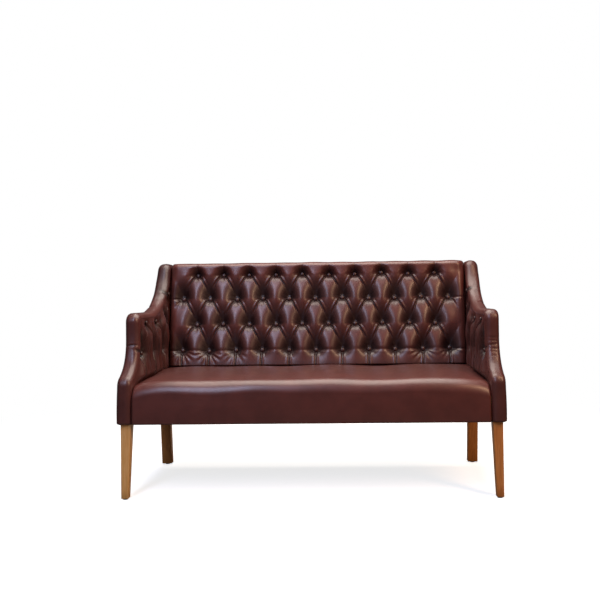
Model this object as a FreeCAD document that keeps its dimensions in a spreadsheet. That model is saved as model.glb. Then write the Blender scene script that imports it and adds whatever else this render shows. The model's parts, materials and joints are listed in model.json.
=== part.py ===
import FreeCAD, Part
import math
import operator
import os
import Sketcher
from FreeCAD import Placement, Rotation, Vector

# A settee with a deep-buttoned back, scooped arms, a tight seat and square legs.
# Millimetres. X runs along the seat, -Y is the front, Z is up and the floor is at Z 0.

doc = FreeCAD.newDocument("settee")

driving = {
    # The whole settee
    "overall_width": 1500,
    "overall_depth": 675,
    "back_height": 946,
    "wing_drop": 10,
    "arm_height": 720,
    "seat_height": 470,
    "back_rake_angle": 8,
    # Outline of an arm, seen from the side
    "arm_setback": 105,
    "scoop_lift": 140,
    "scoop_radius": 150,
    "toe_radius": 40,
    "arm_nose_radius": 36,
    "sweep_radius": 325,
    "wing_nose_radius": 34,
    "wing_flat": 66,
    # Upholstery of the arms
    "cover_gauge": 3,
    "border_gauge": 14,
    "border_width": 57,
    "border_ease": 7,
    "arm_foam_gauge": 12,
    "arm_pad_base": 9,
    "arm_crown": 20,
    "arm_pad_lift": 10,
    "arm_pad_draw": 9,
    # Upholstery of the back
    "outside_back_gauge": 4,
    "back_foam_gauge": 15,
    "back_pad_base": 9,
    "back_crown": 26,
    "back_rib_drop": 0.6,
    "back_pad_round": 22,
    "back_roll_round": 9,
    "pad_gap": 4,
    # Upholstery of the seat
    "front_pad": 15,
    "seat_pad_height": 76.5,
    "seat_skin": 6,
    "seat_roll": 40,
    "seat_crown": 10,
    "seat_side_drop": 18,
    # Buttons
    "button_margin": 52,
    "button_drop": 50,
    "button_lift": 72,
    "button_diameter": 20,
    "button_top": 13,
    "button_seat": 5,
    "button_dome": 4.5,
    "button_clearance": 0.8,
    "arm_button_pitch": 138,
    "arm_button_rise": 122,
    "arm_first_button": 145,
    "arm_low_row_lift": 86,
    "arm_button_margin": 20,
    # Legs
    "leg_size": 40,
    "foot_size": 28,
    "leg_ease": 2.5,
    "rear_leg_width": 46,
    "rear_post_depth": 36,
    "rear_foot_depth": 32,
    "rear_kick": 34,
    "glide_diameter": 20,
    "glide_height": 4,
    # Wooden frame
    "rail_height": 90,
    "rail_gauge": 28,
    "under_wrap": 4,
    "backing_gauge": 8,
    "arm_board_gauge": 22,
    "window_margin": 50,
    "window_length": 145,
    "window_round": 25,
    "top_rail_height": 70,
    "lower_rail_height": 55,
    "lower_rail_lift": 160,
    "upright_width": 45,
    "upright_spread": 500,
    "cross_rail_height": 70,
    "cross_rail_spread": 500,
    "block_side": 50,
    "block_height": 40,
    "tenon_gauge": 8,
    "tenon_width": 30,
    "tenon_length": 40,
    "tenon_stagger": 20,
    "board_tenon_setback": 150,
    "board_tenon_spacing": 270,
    "board_tenon_lift": 90,
    # Webbing and cloth
    "webbing_gauge": 2,
    "webbing_width": 70,
    "hessian_gauge": 1.5,
    "dust_gauge": 1.5,
    "cloth_margin": 2,
    # Clearance between soft pieces that must not touch
    "fit_gap": 0.3,
}
seat_strap_count = 9
back_strap_count = 8
long_row_buttons = 11
back_button_rows = 4
arm_rib_count = 12

sheet = doc.addObject("Spreadsheet::Sheet", "Sizes")
for row, (name, number) in enumerate(driving.items(), 1):
    sheet.set(f"A{row}", name)
    sheet.set(f"B{row}", str(number))
    sheet.setAlias(f"B{row}", name)
doc.recompute()


class Size:
    # A number kept with the sheet formula that gives it, so each formula is written once.
    def __init__(self, value, text):
        self.value = value
        self.text = text

    def __add__(self, other):
        return joined(self, "+", other)

    def __radd__(self, other):
        return joined(other, "+", self)

    def __sub__(self, other):
        return joined(self, "-", other)

    def __rsub__(self, other):
        return joined(other, "-", self)

    def __mul__(self, other):
        return joined(self, "*", other)

    def __rmul__(self, other):
        return joined(other, "*", self)

    def __truediv__(self, other):
        return joined(self, "/", other)

    def __neg__(self):
        return joined(-1, "*", self)


operations = {"+": operator.add, "-": operator.sub, "*": operator.mul, "/": operator.truediv}


def as_size(number):
    return number if isinstance(number, Size) else Size(number, str(number))


def joined(left, sign, right):
    first = as_size(left)
    second = as_size(right)
    value = operations[sign](first.value, second.value)
    return Size(value, f"({first.text} {sign} {second.text})")


def root(number):
    return Size(math.sqrt(number.value), f"sqrt({number.text})")


def size(name):
    return Size(float(sheet.get(name)), f"Sizes.{name}")


def sine(angle):
    return Size(math.sin(math.radians(angle.value)), f"sin({angle.text})")


def cosine(angle):
    return Size(math.cos(math.radians(angle.value)), f"cos({angle.text})")


def tangent(angle):
    return Size(math.tan(math.radians(angle.value)), f"tan({angle.text})")


def bind(item, prop, number):
    item.setExpression(prop, as_size(number).text)


# Places worked out from the driving sizes

half_width = size("overall_width") / 2
front = -size("overall_depth") / 2
rake = size("back_rake_angle")
wing_height = size("back_height") - size("wing_drop")
scoop_height = size("seat_height") + size("scoop_lift")
border = size("border_gauge")
gap = size("fit_gap")

# The seat stands on hessian, webbing and rails, and the legs make up its height.
seat_base = size("seat_height") - size("seat_pad_height")
hessian_low = seat_base - size("hessian_gauge")
rail_top = hessian_low - size("webbing_gauge")
rail_low = rail_top - size("rail_height")
leg_height = rail_low - size("under_wrap")

# The back is laid out on its rake: u runs up the back and n forward from its outside face.
frame_front = size("outside_back_gauge") + size("rear_post_depth")
frame_middle = frame_front - size("rail_gauge") / 2
webbing_front = frame_front + size("webbing_gauge")
back_pad_start = webbing_front + size("back_foam_gauge")
back_valley = back_pad_start + size("back_pad_base")
back_face = back_valley + size("back_crown")
back_pad_spare = size("back_crown") / 4
back_top_edge = back_face + back_pad_spare - size("back_pad_round")
back_top = (size("back_height") - leg_height - back_top_edge * sine(rake)) / cosine(rake)
post_top = wing_height - border
rear_low = -front - (wing_height - leg_height) * tangent(rake)

frame_side = half_width - size("cover_gauge") - size("backing_gauge")
leg_inside = frame_side - size("leg_size")
post_inside = frame_side - size("rear_leg_width")
side_rail_inside = frame_side - size("rail_gauge")
board_inside = frame_side - size("arm_board_gauge")
arm_pad_side = board_inside - size("arm_foam_gauge")
arm_valley = size("arm_pad_base")
arm_face = arm_valley + size("arm_crown")
border_inside = half_width - size("border_width")
back_half = arm_pad_side - arm_face - size("pad_gap")
seat_half = border_inside - gap

leg_front = front + size("front_pad")
leg_back = leg_front + size("leg_size")
front_rail_back = leg_front + size("rail_gauge")


def on_back(n, z):
    # Y of the plane that lies n in front of the outside of the back, at height z.
    return rear_low + (z - leg_height) * tangent(rake) - as_size(n) / cosine(rake)


def height_on_back(n, z):
    # u of a point that lies n in front of the outside of the back, at height z.
    return (z - leg_height - n * sine(rake)) / cosine(rake)


back_frame_top = height_on_back(frame_front, post_top)

# Sketches are rings of corners: (across, up, None) starts a line, (across, up, (radius, turn)) an arc
# of under half a circle that turns left for 1 and right for -1.


def arc_centre(start, end, radius, turn):
    chord = end - start
    reach = math.sqrt(max(radius * radius - chord.Length * chord.Length / 4, 0))
    aside = Vector(-chord.y, chord.x, 0).normalize()
    return (start + end) / 2 + aside * (reach * turn)


def arc_middle(start, end, radius, turn):
    centre = arc_centre(start, end, radius, turn)
    return centre + ((start + end) / 2 - centre).normalize() * radius


def ring_points(ring):
    return [Vector(across.value, up.value, 0) for across, up, bend in ring]


def sketch_ring(body, name, plane, level, ring):
    sketch = body.newObject("Sketcher::SketchObject", name)
    origin_plane = next(item for item in body.Origin.OriginFeatures if item.Role == plane)
    sketch.AttachmentSupport = [(origin_plane, "")]
    sketch.MapMode = "FlatFace"
    sketch.AttachmentOffset = Placement(Vector(0, 0, as_size(level).value), Rotation())
    bind(sketch, "AttachmentOffset.Base.z", level)
    points = ring_points(ring)
    ends = []
    for index, (across, up, bend) in enumerate(ring):
        start = points[index]
        end = points[(index + 1) % len(ring)]
        if bend is None:
            sketch.addGeometry(Part.LineSegment(start, end))
            ends.append((1, 2))
            continue
        radius, turn = bend[0].value, bend[1]
        centre = arc_centre(start, end, radius, turn)
        first, last = (start, end) if turn > 0 else (end, start)
        low = math.atan2(first.y - centre.y, first.x - centre.x)
        high = math.atan2(last.y - centre.y, last.x - centre.x)
        sketch.addGeometry(Part.ArcOfCircle(Part.Circle(centre, Vector(0, 0, 1), radius), low, high))
        ends.append((1, 2) if turn > 0 else (2, 1))
    for index, (across, up, bend) in enumerate(ring):
        after = (index + 1) % len(ring)
        sketch.addConstraint(Sketcher.Constraint("Coincident", index, ends[index][1], after, ends[after][0]))
    for index, (across, up, bend) in enumerate(ring):
        corner = (-1, 1, index, ends[index][0])
        place = sketch.addConstraint(Sketcher.Constraint("DistanceX", *corner, across.value))
        bind(sketch, f"Constraints[{place}]", across)
        place = sketch.addConstraint(Sketcher.Constraint("DistanceY", *corner, up.value))
        bind(sketch, f"Constraints[{place}]", up)
        if bend is not None:
            place = sketch.addConstraint(Sketcher.Constraint("Radius", index, bend[0].value))
            bind(sketch, f"Constraints[{place}]", bend[0])
    return sketch


def plate(label, plane, level, thickness, ring):
    # A flat piece: one ring padded by a thickness from a level of an origin plane.
    body = doc.addObject("PartDesign::Body", label)
    body.Label = label
    sketch = sketch_ring(body, f"{label}_outline", plane, level, ring)
    pad = body.newObject("PartDesign::Pad", f"{label}_pad")
    pad.Profile = sketch
    pad.Length = as_size(thickness).value
    bind(pad, "Length", thickness)
    return body


def loft(label, levels, rings, plane, ruled):
    body = doc.addObject("PartDesign::Body", label)
    body.Label = label
    sketches = []
    for index, (level, ring) in enumerate(zip(levels, rings)):
        sketches.append(sketch_ring(body, f"{label}_section_{index}", plane, level, ring))
    skin = body.newObject("PartDesign::AdditiveLoft", f"{label}_loft")
    skin.Profile = sketches[0]
    skin.Sections = sketches[1:]
    skin.Ruled = ruled
    return body


def box(label, corner, lengths):
    block = doc.addObject("Part::Box", label)
    block.Label = label
    for prop, length in zip(("Length", "Width", "Height"), lengths):
        bind(block, prop, length)
    for axis, place in zip("xyz", corner):
        bind(block, f"Placement.Base.{axis}", place)
    return block


def lean(item, x, n, u):
    # Puts the item's origin at a point of the back and turns it onto the rake.
    item.Placement = Placement(Vector(), Rotation(Vector(-1, 0, 0), rake.value))
    bind(item, "Placement.Rotation.Angle", rake)
    bind(item, "Placement.Base.x", x)
    bind(item, "Placement.Base.y", rear_low - as_size(n) * cosine(rake) + as_size(u) * sine(rake))
    bind(item, "Placement.Base.z", leg_height + as_size(u) * cosine(rake) + as_size(n) * sine(rake))
    return item


def leaning_box(label, corner, lengths):
    # The corner is (x, n, u) of the low front edge; the lengths run along x, backward and up.
    block = box(label, (0, 0, 0), lengths)
    return lean(block, *corner)


def group(label, items):
    joint = doc.addObject("Part::Compound", label)
    joint.Label = label
    joint.Links = items
    return joint


def cut(label, base, tool):
    piece = doc.addObject("Part::Cut", label)
    piece.Label = label
    piece.Base = base
    piece.Tool = tool
    return piece


def solid_feature(label, shape, placement=None):
    piece = doc.addObject("Part::Feature", label)
    piece.Label = label
    piece.Shape = shape
    if placement is not None:
        piece.Placement = placement
    return piece


def plain(across, up):
    return (as_size(across), as_size(up), None)


def rounded_rectangle(low_x, high_x, low_y, high_y, radius):
    bend = (radius, 1)
    return [
        plain(low_x + radius, low_y),
        (high_x - radius, low_y, bend),
        plain(high_x, low_y + radius),
        (high_x, high_y - radius, bend),
        plain(high_x - radius, high_y),
        (low_x + radius, high_y, bend),
        plain(low_x, high_y - radius),
        (low_x, low_y + radius, bend),
    ]


def sided(side, inner, outer):
    # Low X of a piece that lies between two distances from the middle, on the named side.
    return inner if side == "right" else -outer


sides = ("left", "right")
parts = {}


def keep(item):
    parts[item.Label] = item
    return item


# Outline of an arm, set in by a margin all round, down to a low edge and back to a plane of the back


def arm_outline(inset, low, n):
    inset = as_size(inset)
    toe = size("toe_radius")
    scoop = size("scoop_radius")
    nose = size("arm_nose_radius")
    sweep = size("sweep_radius")
    wing_nose = size("wing_nose_radius")
    arm_front = front + size("arm_setback")
    toe_y = front + toe
    scoop_y = arm_front - scoop
    rise = root((toe + scoop) * (toe + scoop) - (toe_y - scoop_y) * (toe_y - scoop_y))
    toe_z = scoop_height - rise
    toe_share = (toe - inset) / (toe + scoop)
    sweep_z = size("arm_height") + sweep
    wing_y = on_back(0, wing_height) - size("wing_flat")
    wing_z = wing_height - wing_nose
    both = sweep + wing_nose
    sweep_y = wing_y - root(both * both - (sweep_z - wing_z) * (sweep_z - wing_z))
    sweep_share = (sweep + inset) / both
    wing_top = wing_height - inset
    arm_top = size("arm_height") - inset
    return [
        plain(front + inset, low),
        (front + inset, toe_z, (toe - inset, -1)),
        (toe_y + (scoop_y - toe_y) * toe_share, toe_z + rise * toe_share, (scoop + inset, 1)),
        plain(arm_front + inset, scoop_height),
        (arm_front + inset, size("arm_height") - nose, (nose - inset, -1)),
        plain(arm_front + nose, arm_top),
        (sweep_y, arm_top, (sweep + inset, 1)),
        (
            sweep_y + (wing_y - sweep_y) * sweep_share,
            sweep_z + (wing_z - sweep_z) * sweep_share,
            (wing_nose - inset, -1),
        ),
        plain(wing_y, wing_top),
        plain(on_back(n, wing_top), wing_top),
        plain(on_back(n, low), low),
    ]


def turned_back(path):
    # The same path walked from its end to its start.
    walked = []
    for index in range(len(path) - 1, -1, -1):
        bend = path[index - 1][2] if index else None
        if bend is not None:
            bend = (bend[0], -bend[1])
        walked.append((path[index][0], path[index][1], bend))
    return walked


# Loose tenons: one block shape serves as tenon and as the mortises on both sides of its joint

tenon_gauge = size("tenon_gauge")
tenon_width = size("tenon_width")
tenon_length = size("tenon_length")
low_tenon = size("rail_height") / 2 - size("tenon_stagger")
high_tenon = size("rail_height") / 2 + size("tenon_stagger")
cross_x = size("cross_rail_spread") / 2
upright_x = size("upright_spread") / 2
board_middle = frame_side - size("arm_board_gauge") / 2
side_rail_middle = frame_side - size("rail_gauge") / 2
tenons = []


def centred(place, length):
    return as_size(place) - as_size(length) / 2


def tenon(middle, lengths):
    corner = [centred(place, length) for place, length in zip(middle, lengths)]
    tenons.append(box(f"tenon_{len(tenons)}", corner, lengths))


def leaning_tenon(middle, lengths):
    x, n, u = middle
    corner = (centred(x, lengths[0]), as_size(n) + lengths[1] / 2, centred(u, lengths[2]))
    tenons.append(leaning_box(f"tenon_{len(tenons)}", corner, lengths))


across_rail = (tenon_length, tenon_gauge, tenon_width)
along_rail = (tenon_gauge, tenon_length, tenon_width)
upright_tenon = (tenon_width, tenon_gauge, tenon_length)
board_tenon = (tenon_gauge, tenon_width, tenon_length)
lower_rail_middle = size("lower_rail_lift") + size("lower_rail_height") / 2
top_rail_low = back_frame_top - size("top_rail_height")
top_rail_middle = back_frame_top - size("top_rail_height") / 2
lower_rail_top = size("lower_rail_lift") + size("lower_rail_height")
cross_middle = rail_low + size("cross_rail_height") / 2
board_foot = front + size("board_tenon_setback")
board_foot_places = (board_foot, board_foot + size("board_tenon_spacing"))
board_back_places = [size(name) + size("board_tenon_lift") for name in ("seat_height", "arm_height")]
for sign in (-1, 1):
    front_rail_middle = leg_front + size("rail_gauge") / 2
    tenon((sign * leg_inside, front_rail_middle, rail_low + low_tenon), across_rail)
    side_tenon_z = rail_low + high_tenon
    tenon((sign * side_rail_middle, leg_back, side_tenon_z), along_rail)
    tenon((sign * side_rail_middle, on_back(frame_front, side_tenon_z), side_tenon_z), along_rail)
    leaning_tenon((sign * post_inside, frame_middle, low_tenon), across_rail)
    leaning_tenon((sign * post_inside, frame_middle, lower_rail_middle), across_rail)
    leaning_tenon((sign * post_inside, frame_middle, top_rail_middle), across_rail)
    leaning_tenon((sign * upright_x, frame_middle, lower_rail_top), upright_tenon)
    leaning_tenon((sign * upright_x, frame_middle, top_rail_low), upright_tenon)
    tenon((sign * cross_x, front_rail_back, cross_middle), along_rail)
    tenon((sign * cross_x, on_back(frame_front, cross_middle), cross_middle), along_rail)
    for place in board_foot_places:
        tenon((sign * board_middle, place, rail_top), board_tenon)
    for place in board_back_places:
        tenon((sign * board_middle, on_back(frame_front, place), place), along_rail)
loose_tenons = keep(group("loose_tenons", tenons))


def mortised(label, blank):
    blank.Label = f"{label} blank"
    return keep(cut(label, blank, loose_tenons))


# Legs and glides

foot_low = size("glide_height")
leg_size = size("leg_size")
foot_size = size("foot_size")
leg_taper = leg_size - foot_size
rear_top = on_back(frame_front, leg_height)
rear_foot_front = rear_top + size("rear_kick")
glides = []


def glide(x, y):
    disc = doc.addObject("Part::Cylinder", f"glide_{len(glides)}")
    bind(disc, "Radius", size("glide_diameter") / 2)
    bind(disc, "Height", foot_low)
    bind(disc, "Placement.Base.x", x)
    bind(disc, "Placement.Base.y", y)
    glides.append(disc)


def tapered_leg(label, side, low_x):
    # A square that tapers to the foot on its two inner faces, its long corners planed off, under a square post.
    foot_x = leg_taper if side == "right" else as_size(0)
    taper = doc.addObject("Part::Wedge", f"{label}_taper")
    spans = {
        "Xmin": foot_x,
        "Xmax": foot_x + foot_size,
        "Zmin": leg_taper,
        "Zmax": leg_size,
        "X2min": 0,
        "X2max": leg_size,
        "Z2min": 0,
        "Z2max": leg_size,
        "Ymin": foot_low,
        "Ymax": leg_height,
    }
    for prop, span in spans.items():
        setattr(taper, prop, as_size(span).value)
        bind(taper, prop, span)
    taper.Placement = Placement(Vector(), Rotation(Vector(1, 0, 0), 90))
    bind(taper, "Placement.Base.x", low_x)
    bind(taper, "Placement.Base.y", leg_back)
    doc.recompute()
    ease = size("leg_ease").value
    planed = doc.addObject("Part::Chamfer", f"{label}_planed")
    planed.Base = taper
    planed.Edges = [
        (index, ease, ease)
        for index, edge in enumerate(taper.Shape.Edges, 1)
        if edge.BoundBox.ZLength > leg_size.value
    ]
    post = box(f"{label}_post", (low_x, leg_front, leg_height), (leg_size, leg_size, rail_top - leg_height))
    blank = doc.addObject("Part::MultiFuse", f"{label}_blank")
    blank.Shapes = [planed, post]
    return blank


for side, sign in zip(sides, (-1, 1)):
    glide(sign * (frame_side - foot_size / 2), leg_front + foot_size / 2)
    glide(sign * (frame_side - size("rear_leg_width") / 2), rear_foot_front + size("rear_foot_depth") / 2)
keep(group("foot_glides", glides))

for side in sides:
    low_x = sided(side, leg_inside, frame_side)
    label = f"front_{side}_leg"
    mortised(label, tapered_leg(label, side, low_x))

    label = f"rear_{side}_leg"
    outline = [
        plain(rear_foot_front, foot_low),
        plain(rear_foot_front + size("rear_foot_depth"), foot_low),
        plain(on_back(size("outside_back_gauge"), leg_height), leg_height),
        plain(on_back(size("outside_back_gauge"), post_top), post_top),
        plain(on_back(frame_front, post_top), post_top),
        plain(rear_top, leg_height),
    ]
    low_x = sided(side, post_inside, frame_side)
    mortised(label, plate(f"{label}_blank", "YZ_Plane", low_x, size("rear_leg_width"), outline))

# Seat frame

rail_height = size("rail_height")
rail_gauge = size("rail_gauge")
front_rail = box(
    "front_rail_blank",
    (-leg_inside, leg_front, rail_low),
    (leg_inside * 2, rail_gauge, rail_height),
)
mortised("front_rail", front_rail)
rear_rail_low = height_on_back(frame_front - rail_gauge, rail_low)
rear_rail_top = height_on_back(frame_front, rail_top)
rear_rail = leaning_box(
    "rear_rail_blank",
    (-post_inside, frame_front, rear_rail_low),
    (post_inside * 2, rail_gauge, rear_rail_top - rear_rail_low),
)
mortised("rear_rail", rear_rail)


def deep_rail(label, low_x, start, height):
    # A rail from front to back, its rear end cut to the rake.
    outline = [
        plain(start, rail_low),
        plain(on_back(frame_front, rail_low), rail_low),
        plain(on_back(frame_front, rail_low + height), rail_low + height),
        plain(start, rail_low + height),
    ]
    return plate(label, "YZ_Plane", low_x, rail_gauge, outline)


for side in sides:
    low_x = sided(side, side_rail_inside, frame_side)
    mortised(f"{side}_side_rail", deep_rail(f"{side}_side_rail_blank", low_x, leg_back, rail_height))
cross_blanks = []
for side, sign in zip(sides, (-1, 1)):
    low_x = centred(sign * cross_x, rail_gauge)
    blank = deep_rail(f"{side}_cross_rail_blank", low_x, front_rail_back, size("cross_rail_height"))
    cross_blanks.append(blank)
mortised("cross_rails", group("cross_rail_blanks", cross_blanks))

block_side = size("block_side")
block_low = rail_low + (rail_height - size("block_height")) / 2
blocks = []
for side, sign in zip(sides, (-1, 1)):
    notched = [
        plain(sign * (leg_inside - block_side), front_rail_back),
        plain(sign * leg_inside, front_rail_back),
        plain(sign * leg_inside, leg_back),
        plain(sign * side_rail_inside, leg_back),
        plain(sign * side_rail_inside, leg_back + block_side),
    ]
    blocks.append(plate(f"front_{side}_block", "XY_Plane", block_low, size("block_height"), notched))
    corner = [
        plain(sign * side_rail_inside, -frame_front),
        plain(sign * (side_rail_inside - block_side), -frame_front),
        plain(sign * side_rail_inside, -frame_front - block_side),
    ]
    block = plate(f"rear_{side}_block", "XY_Plane", block_low - leg_height, size("block_height"), corner)
    blocks.append(lean(block, 0, 0, 0))
keep(group("glue_blocks", blocks))

# Frame of the back

post_span = post_inside * 2
top_rail = leaning_box(
    "back_top_rail_blank",
    (-post_inside, frame_front, top_rail_low),
    (post_span, rail_gauge, size("top_rail_height")),
)
mortised("back_top_rail", top_rail)
lower_rail = leaning_box(
    "back_lower_rail_blank",
    (-post_inside, frame_front, size("lower_rail_lift")),
    (post_span, rail_gauge, size("lower_rail_height")),
)
mortised("back_lower_rail", lower_rail)
uprights = []
for side, sign in zip(sides, (-1, 1)):
    corner = (centred(sign * upright_x, size("upright_width")), frame_front, lower_rail_top)
    lengths = (size("upright_width"), rail_gauge, top_rail_low - lower_rail_top)
    uprights.append(leaning_box(f"{side}_upright_blank", corner, lengths))
mortised("back_uprights", group("upright_blanks", uprights))

# Arms: board, backing, outside cover, foam and border

window_front = front + size("arm_setback") + border + size("window_margin")
window_back = window_front + size("window_length")
window_low = rail_top + size("window_margin")
window_high = size("arm_height") - border - size("window_margin")
for side in sides:
    outline = arm_outline(border, rail_top, frame_front)
    low_x = sided(side, board_inside, frame_side)
    board = plate(f"{side}_arm_board_blank", "YZ_Plane", low_x, size("arm_board_gauge"), outline)
    window = rounded_rectangle(window_front, window_back, window_low, window_high, size("window_round"))
    hole = board.newObject("PartDesign::Pocket", f"{side}_arm_window")
    hole.Profile = sketch_ring(board, f"{side}_arm_window_outline", "YZ_Plane", low_x, window)
    hole.Type = "ThroughAll"
    hole.Midplane = True
    board.Tip = hole
    mortised(f"{side}_arm_board", board)

    outline = arm_outline(border, leg_height, size("outside_back_gauge"))
    low_x = sided(side, frame_side, half_width - size("cover_gauge"))
    keep(plate(f"{side}_arm_backing", "YZ_Plane", low_x, size("backing_gauge"), outline))

    outline = arm_outline(border + gap, leg_height, size("outside_back_gauge"))
    low_x = sided(side, half_width - size("cover_gauge"), half_width)
    keep(plate(f"{side}_outside_arm_cover", "YZ_Plane", low_x, size("cover_gauge"), outline))

    outline = arm_outline(border + gap, seat_base, frame_front + gap)
    low_x = sided(side, arm_pad_side, board_inside)
    keep(plate(f"{side}_arm_foam", "YZ_Plane", low_x, size("arm_foam_gauge"), outline))

    outer = arm_outline(0, leg_height, 0)[:10]
    inner = arm_outline(border, leg_height, 0)[:10]
    low_x = sided(side, border_inside, half_width)
    band = plate(f"{side}_arm_border", "YZ_Plane", low_x, size("border_width"), outer + turned_back(inner))
    doc.recompute()
    outer_points = ring_points(outer)
    rounded = []
    for index, edge in enumerate(band.Tip.Shape.Edges, 1):
        places = [vertex.Point for vertex in edge.Vertexes]
        flat = max(place.x for place in places) - min(place.x for place in places) < 0.01
        outside = all(
            min((Vector(place.y, place.z, 0) - point).Length for point in outer_points) < 0.01
            for place in places
        )
        if flat and outside:
            rounded.append(f"Edge{index}")
    soften = band.newObject("PartDesign::Chamfer", f"{side}_arm_border_ease")
    soften.Base = (doc.getObject(f"{side}_arm_border_pad"), rounded)
    soften.Size = size("border_ease").value
    bind(soften, "Size", size("border_ease"))
    band.Tip = soften
    keep(band)

# Deep buttoning: a rib of arcs runs along each of the two slants of the diamonds, with its low lines
# through the buttons. What the two ribbed blocks share is the tufts, with straight pleats from button
# to button and a crown in the middle of every diamond.


class Diamonds:
    # The lattice of a buttoned pad: across is the pitch along a row, rise the step between rows.
    def __init__(self, pitch, rise, valley, crown):
        self.pitch = pitch
        self.rise = rise
        self.valley = valley
        self.crown = crown
        self.slant = math.hypot(pitch / 2, rise)
        self.width = pitch * rise / self.slant
        self.radius = (self.width * self.width / 4 + crown * crown) / (2 * crown)

    def closed_face(self, edges, start, end):
        # The face under a rib of arcs that runs from start to end, down to a flat bottom.
        top = Vector(0, 0, self.valley)
        bottom = Vector(0, 0, -self.crown)
        rest = Part.makePolygon([end + top, end + bottom, start + bottom, start + top])
        return Part.Face(Part.Wire(Part.__sortEdges__(edges + rest.Edges)))

    def slant_block(self, button, sign, count, reach):
        # Ribs along one slant, the first one starting at the line through a button.
        along = Vector(sign * self.pitch / 2, -self.rise, 0) / self.slant
        across = Vector(self.rise, sign * self.pitch / 2, 0) / self.slant
        low = Vector(0, 0, self.valley)
        high = Vector(0, 0, self.valley + self.crown)
        start = button - along * reach
        edges = []
        for place in range(count):
            near = start + across * (self.width * place)
            far = near + across * self.width
            edges.append(Part.Arc(near + low, (near + far) / 2 + high, far + low).toShape())
        end = start + across * (self.width * count)
        return self.closed_face(edges, start, end).extrude(along * (2 * reach))

    def upright_block(self, button, count, length, drop):
        # Upright ribs from button to button, lower than the tufts by a small drop.
        low = Vector(0, 0, self.valley)
        high = Vector(self.pitch / 2, 0, self.valley + self.crown - drop)
        step = Vector(self.pitch, 0, 0)
        edges = []
        for place in range(count):
            near = button + step * place
            edges.append(Part.Arc(near + low, near + high, near + step + low).toShape())
        end = button + step * count
        return self.closed_face(edges, button, end).extrude(Vector(0, length, 0))

    def height_beside(self, reach):
        # How far the tufts stand above their low lines, at a distance from a button along its row.
        aside = self.width / 2 - reach * self.rise / self.slant
        return math.sqrt(self.radius * self.radius - aside * aside) - (self.radius - self.crown)

    def tufts(self, envelope, button, count, reach):
        # The part of an envelope that lies under both slants.
        first = self.slant_block(button, 1, count, reach)
        second = self.slant_block(button, -1, count, reach + self.rise)
        return envelope.common(first).common(second)


# Buttoned inside back, laid out as (x, u, n less the front of the foam)

pad_clear = size("seat_height") - size("seat_crown") + size("pad_gap")
back_pad_low = height_on_back(back_pad_start, pad_clear)
top_row = back_top - size("button_drop")
rise = ((top_row - back_pad_low - size("button_lift")) / (back_button_rows - 1)).value
pitch = ((back_half - size("button_margin")) * 2 / (long_row_buttons - 1)).value
crown = size("back_crown").value
back_lattice = Diamonds(pitch, rise, size("back_pad_base").value, crown)
half_row = (long_row_buttons - 1) / 2
row_heights = [top_row.value - rise * row for row in range(back_button_rows)]
long_row = [pitch * (place - half_row) for place in range(long_row_buttons)]
short_row = [place + pitch / 2 for place in long_row[:-1]]
back_buttons = []
for row, up in enumerate(row_heights):
    for across in (long_row if row % 2 else short_row):
        back_buttons.append((across, up))

depth = back_face.value - back_pad_start.value
envelope = Part.makeBox(
    back_half.value * 2,
    back_top.value - back_pad_low.value,
    depth + back_pad_spare.value,
    Vector(-back_half.value, back_pad_low.value, 0),
)
soft_edges = [edge for edge in envelope.Edges if edge.BoundBox.ZMin > depth]
envelope = envelope.makeChamfer(size("back_pad_round").value, soft_edges)
spare = 2 * back_button_rows
arcs = long_row_buttons + 2 * spare
span = pitch * arcs
ends = [Vector(row[0] - pitch * spare, 0, 0) for row in (short_row, long_row)]
ends[0].y = row_heights[0]
ends[1].y = row_heights[-1]
tufts = back_lattice.tufts(envelope, ends[0], arcs, span)
rows_span = row_heights[0] - row_heights[-1]
between_rows = Part.makeBox(span, rows_span, span, Vector(-span / 2, row_heights[-1], -span / 2))
drop = size("back_rib_drop").value
bands = [
    envelope.common(back_lattice.upright_block(ends[0], arcs, rise, drop)),
    envelope.common(back_lattice.upright_block(ends[1], arcs, -rise, drop)),
]
back_shape = tufts.common(between_rows).multiFuse(bands).removeSplitter()


def back_place():
    # Turns (across, up, out) into the leaning back, out being measured from the front of the foam.
    start = back_pad_start.value
    angle = math.radians(rake.value)
    y = rear_low.value - start * math.cos(angle)
    z = leg_height.value + start * math.sin(angle)
    return Placement(Vector(0, y, z), Rotation(Vector(1, 0, 0), 90 - rake.value))


keep(solid_feature("inside_back_pad", back_shape.Solids[0], back_place()))

# Buttoned inside arms, laid out as (y, z, distance in from the foam)

arm_pitch = size("arm_button_pitch").value
arm_rise = size("arm_button_rise").value
arm_low_row = (size("seat_height") + size("arm_low_row_lift")).value
first_button = front.value + size("arm_first_button").value
arm_base = size("arm_pad_base").value
arm_height_out = size("arm_crown").value
arm_lattice = Diamonds(arm_pitch, arm_rise, arm_base, arm_height_out)
arm_start = Vector(first_button - arm_pitch * arm_rib_count / 2, arm_low_row, 0)


def ring_wire(ring, level):
    points = ring_points(ring)
    edges = []
    for index, (across, up, bend) in enumerate(ring):
        start = points[index]
        end = points[(index + 1) % len(ring)]
        if bend is None:
            edge = Part.LineSegment(start, end).toShape()
        else:
            middle = arc_middle(start, end, bend[0].value, bend[1])
            edge = Part.Arc(start, middle, end).toShape()
        edges.append(edge)
    wire = Part.Wire(edges)
    wire.translate(Vector(0, 0, level))
    return wire


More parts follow.
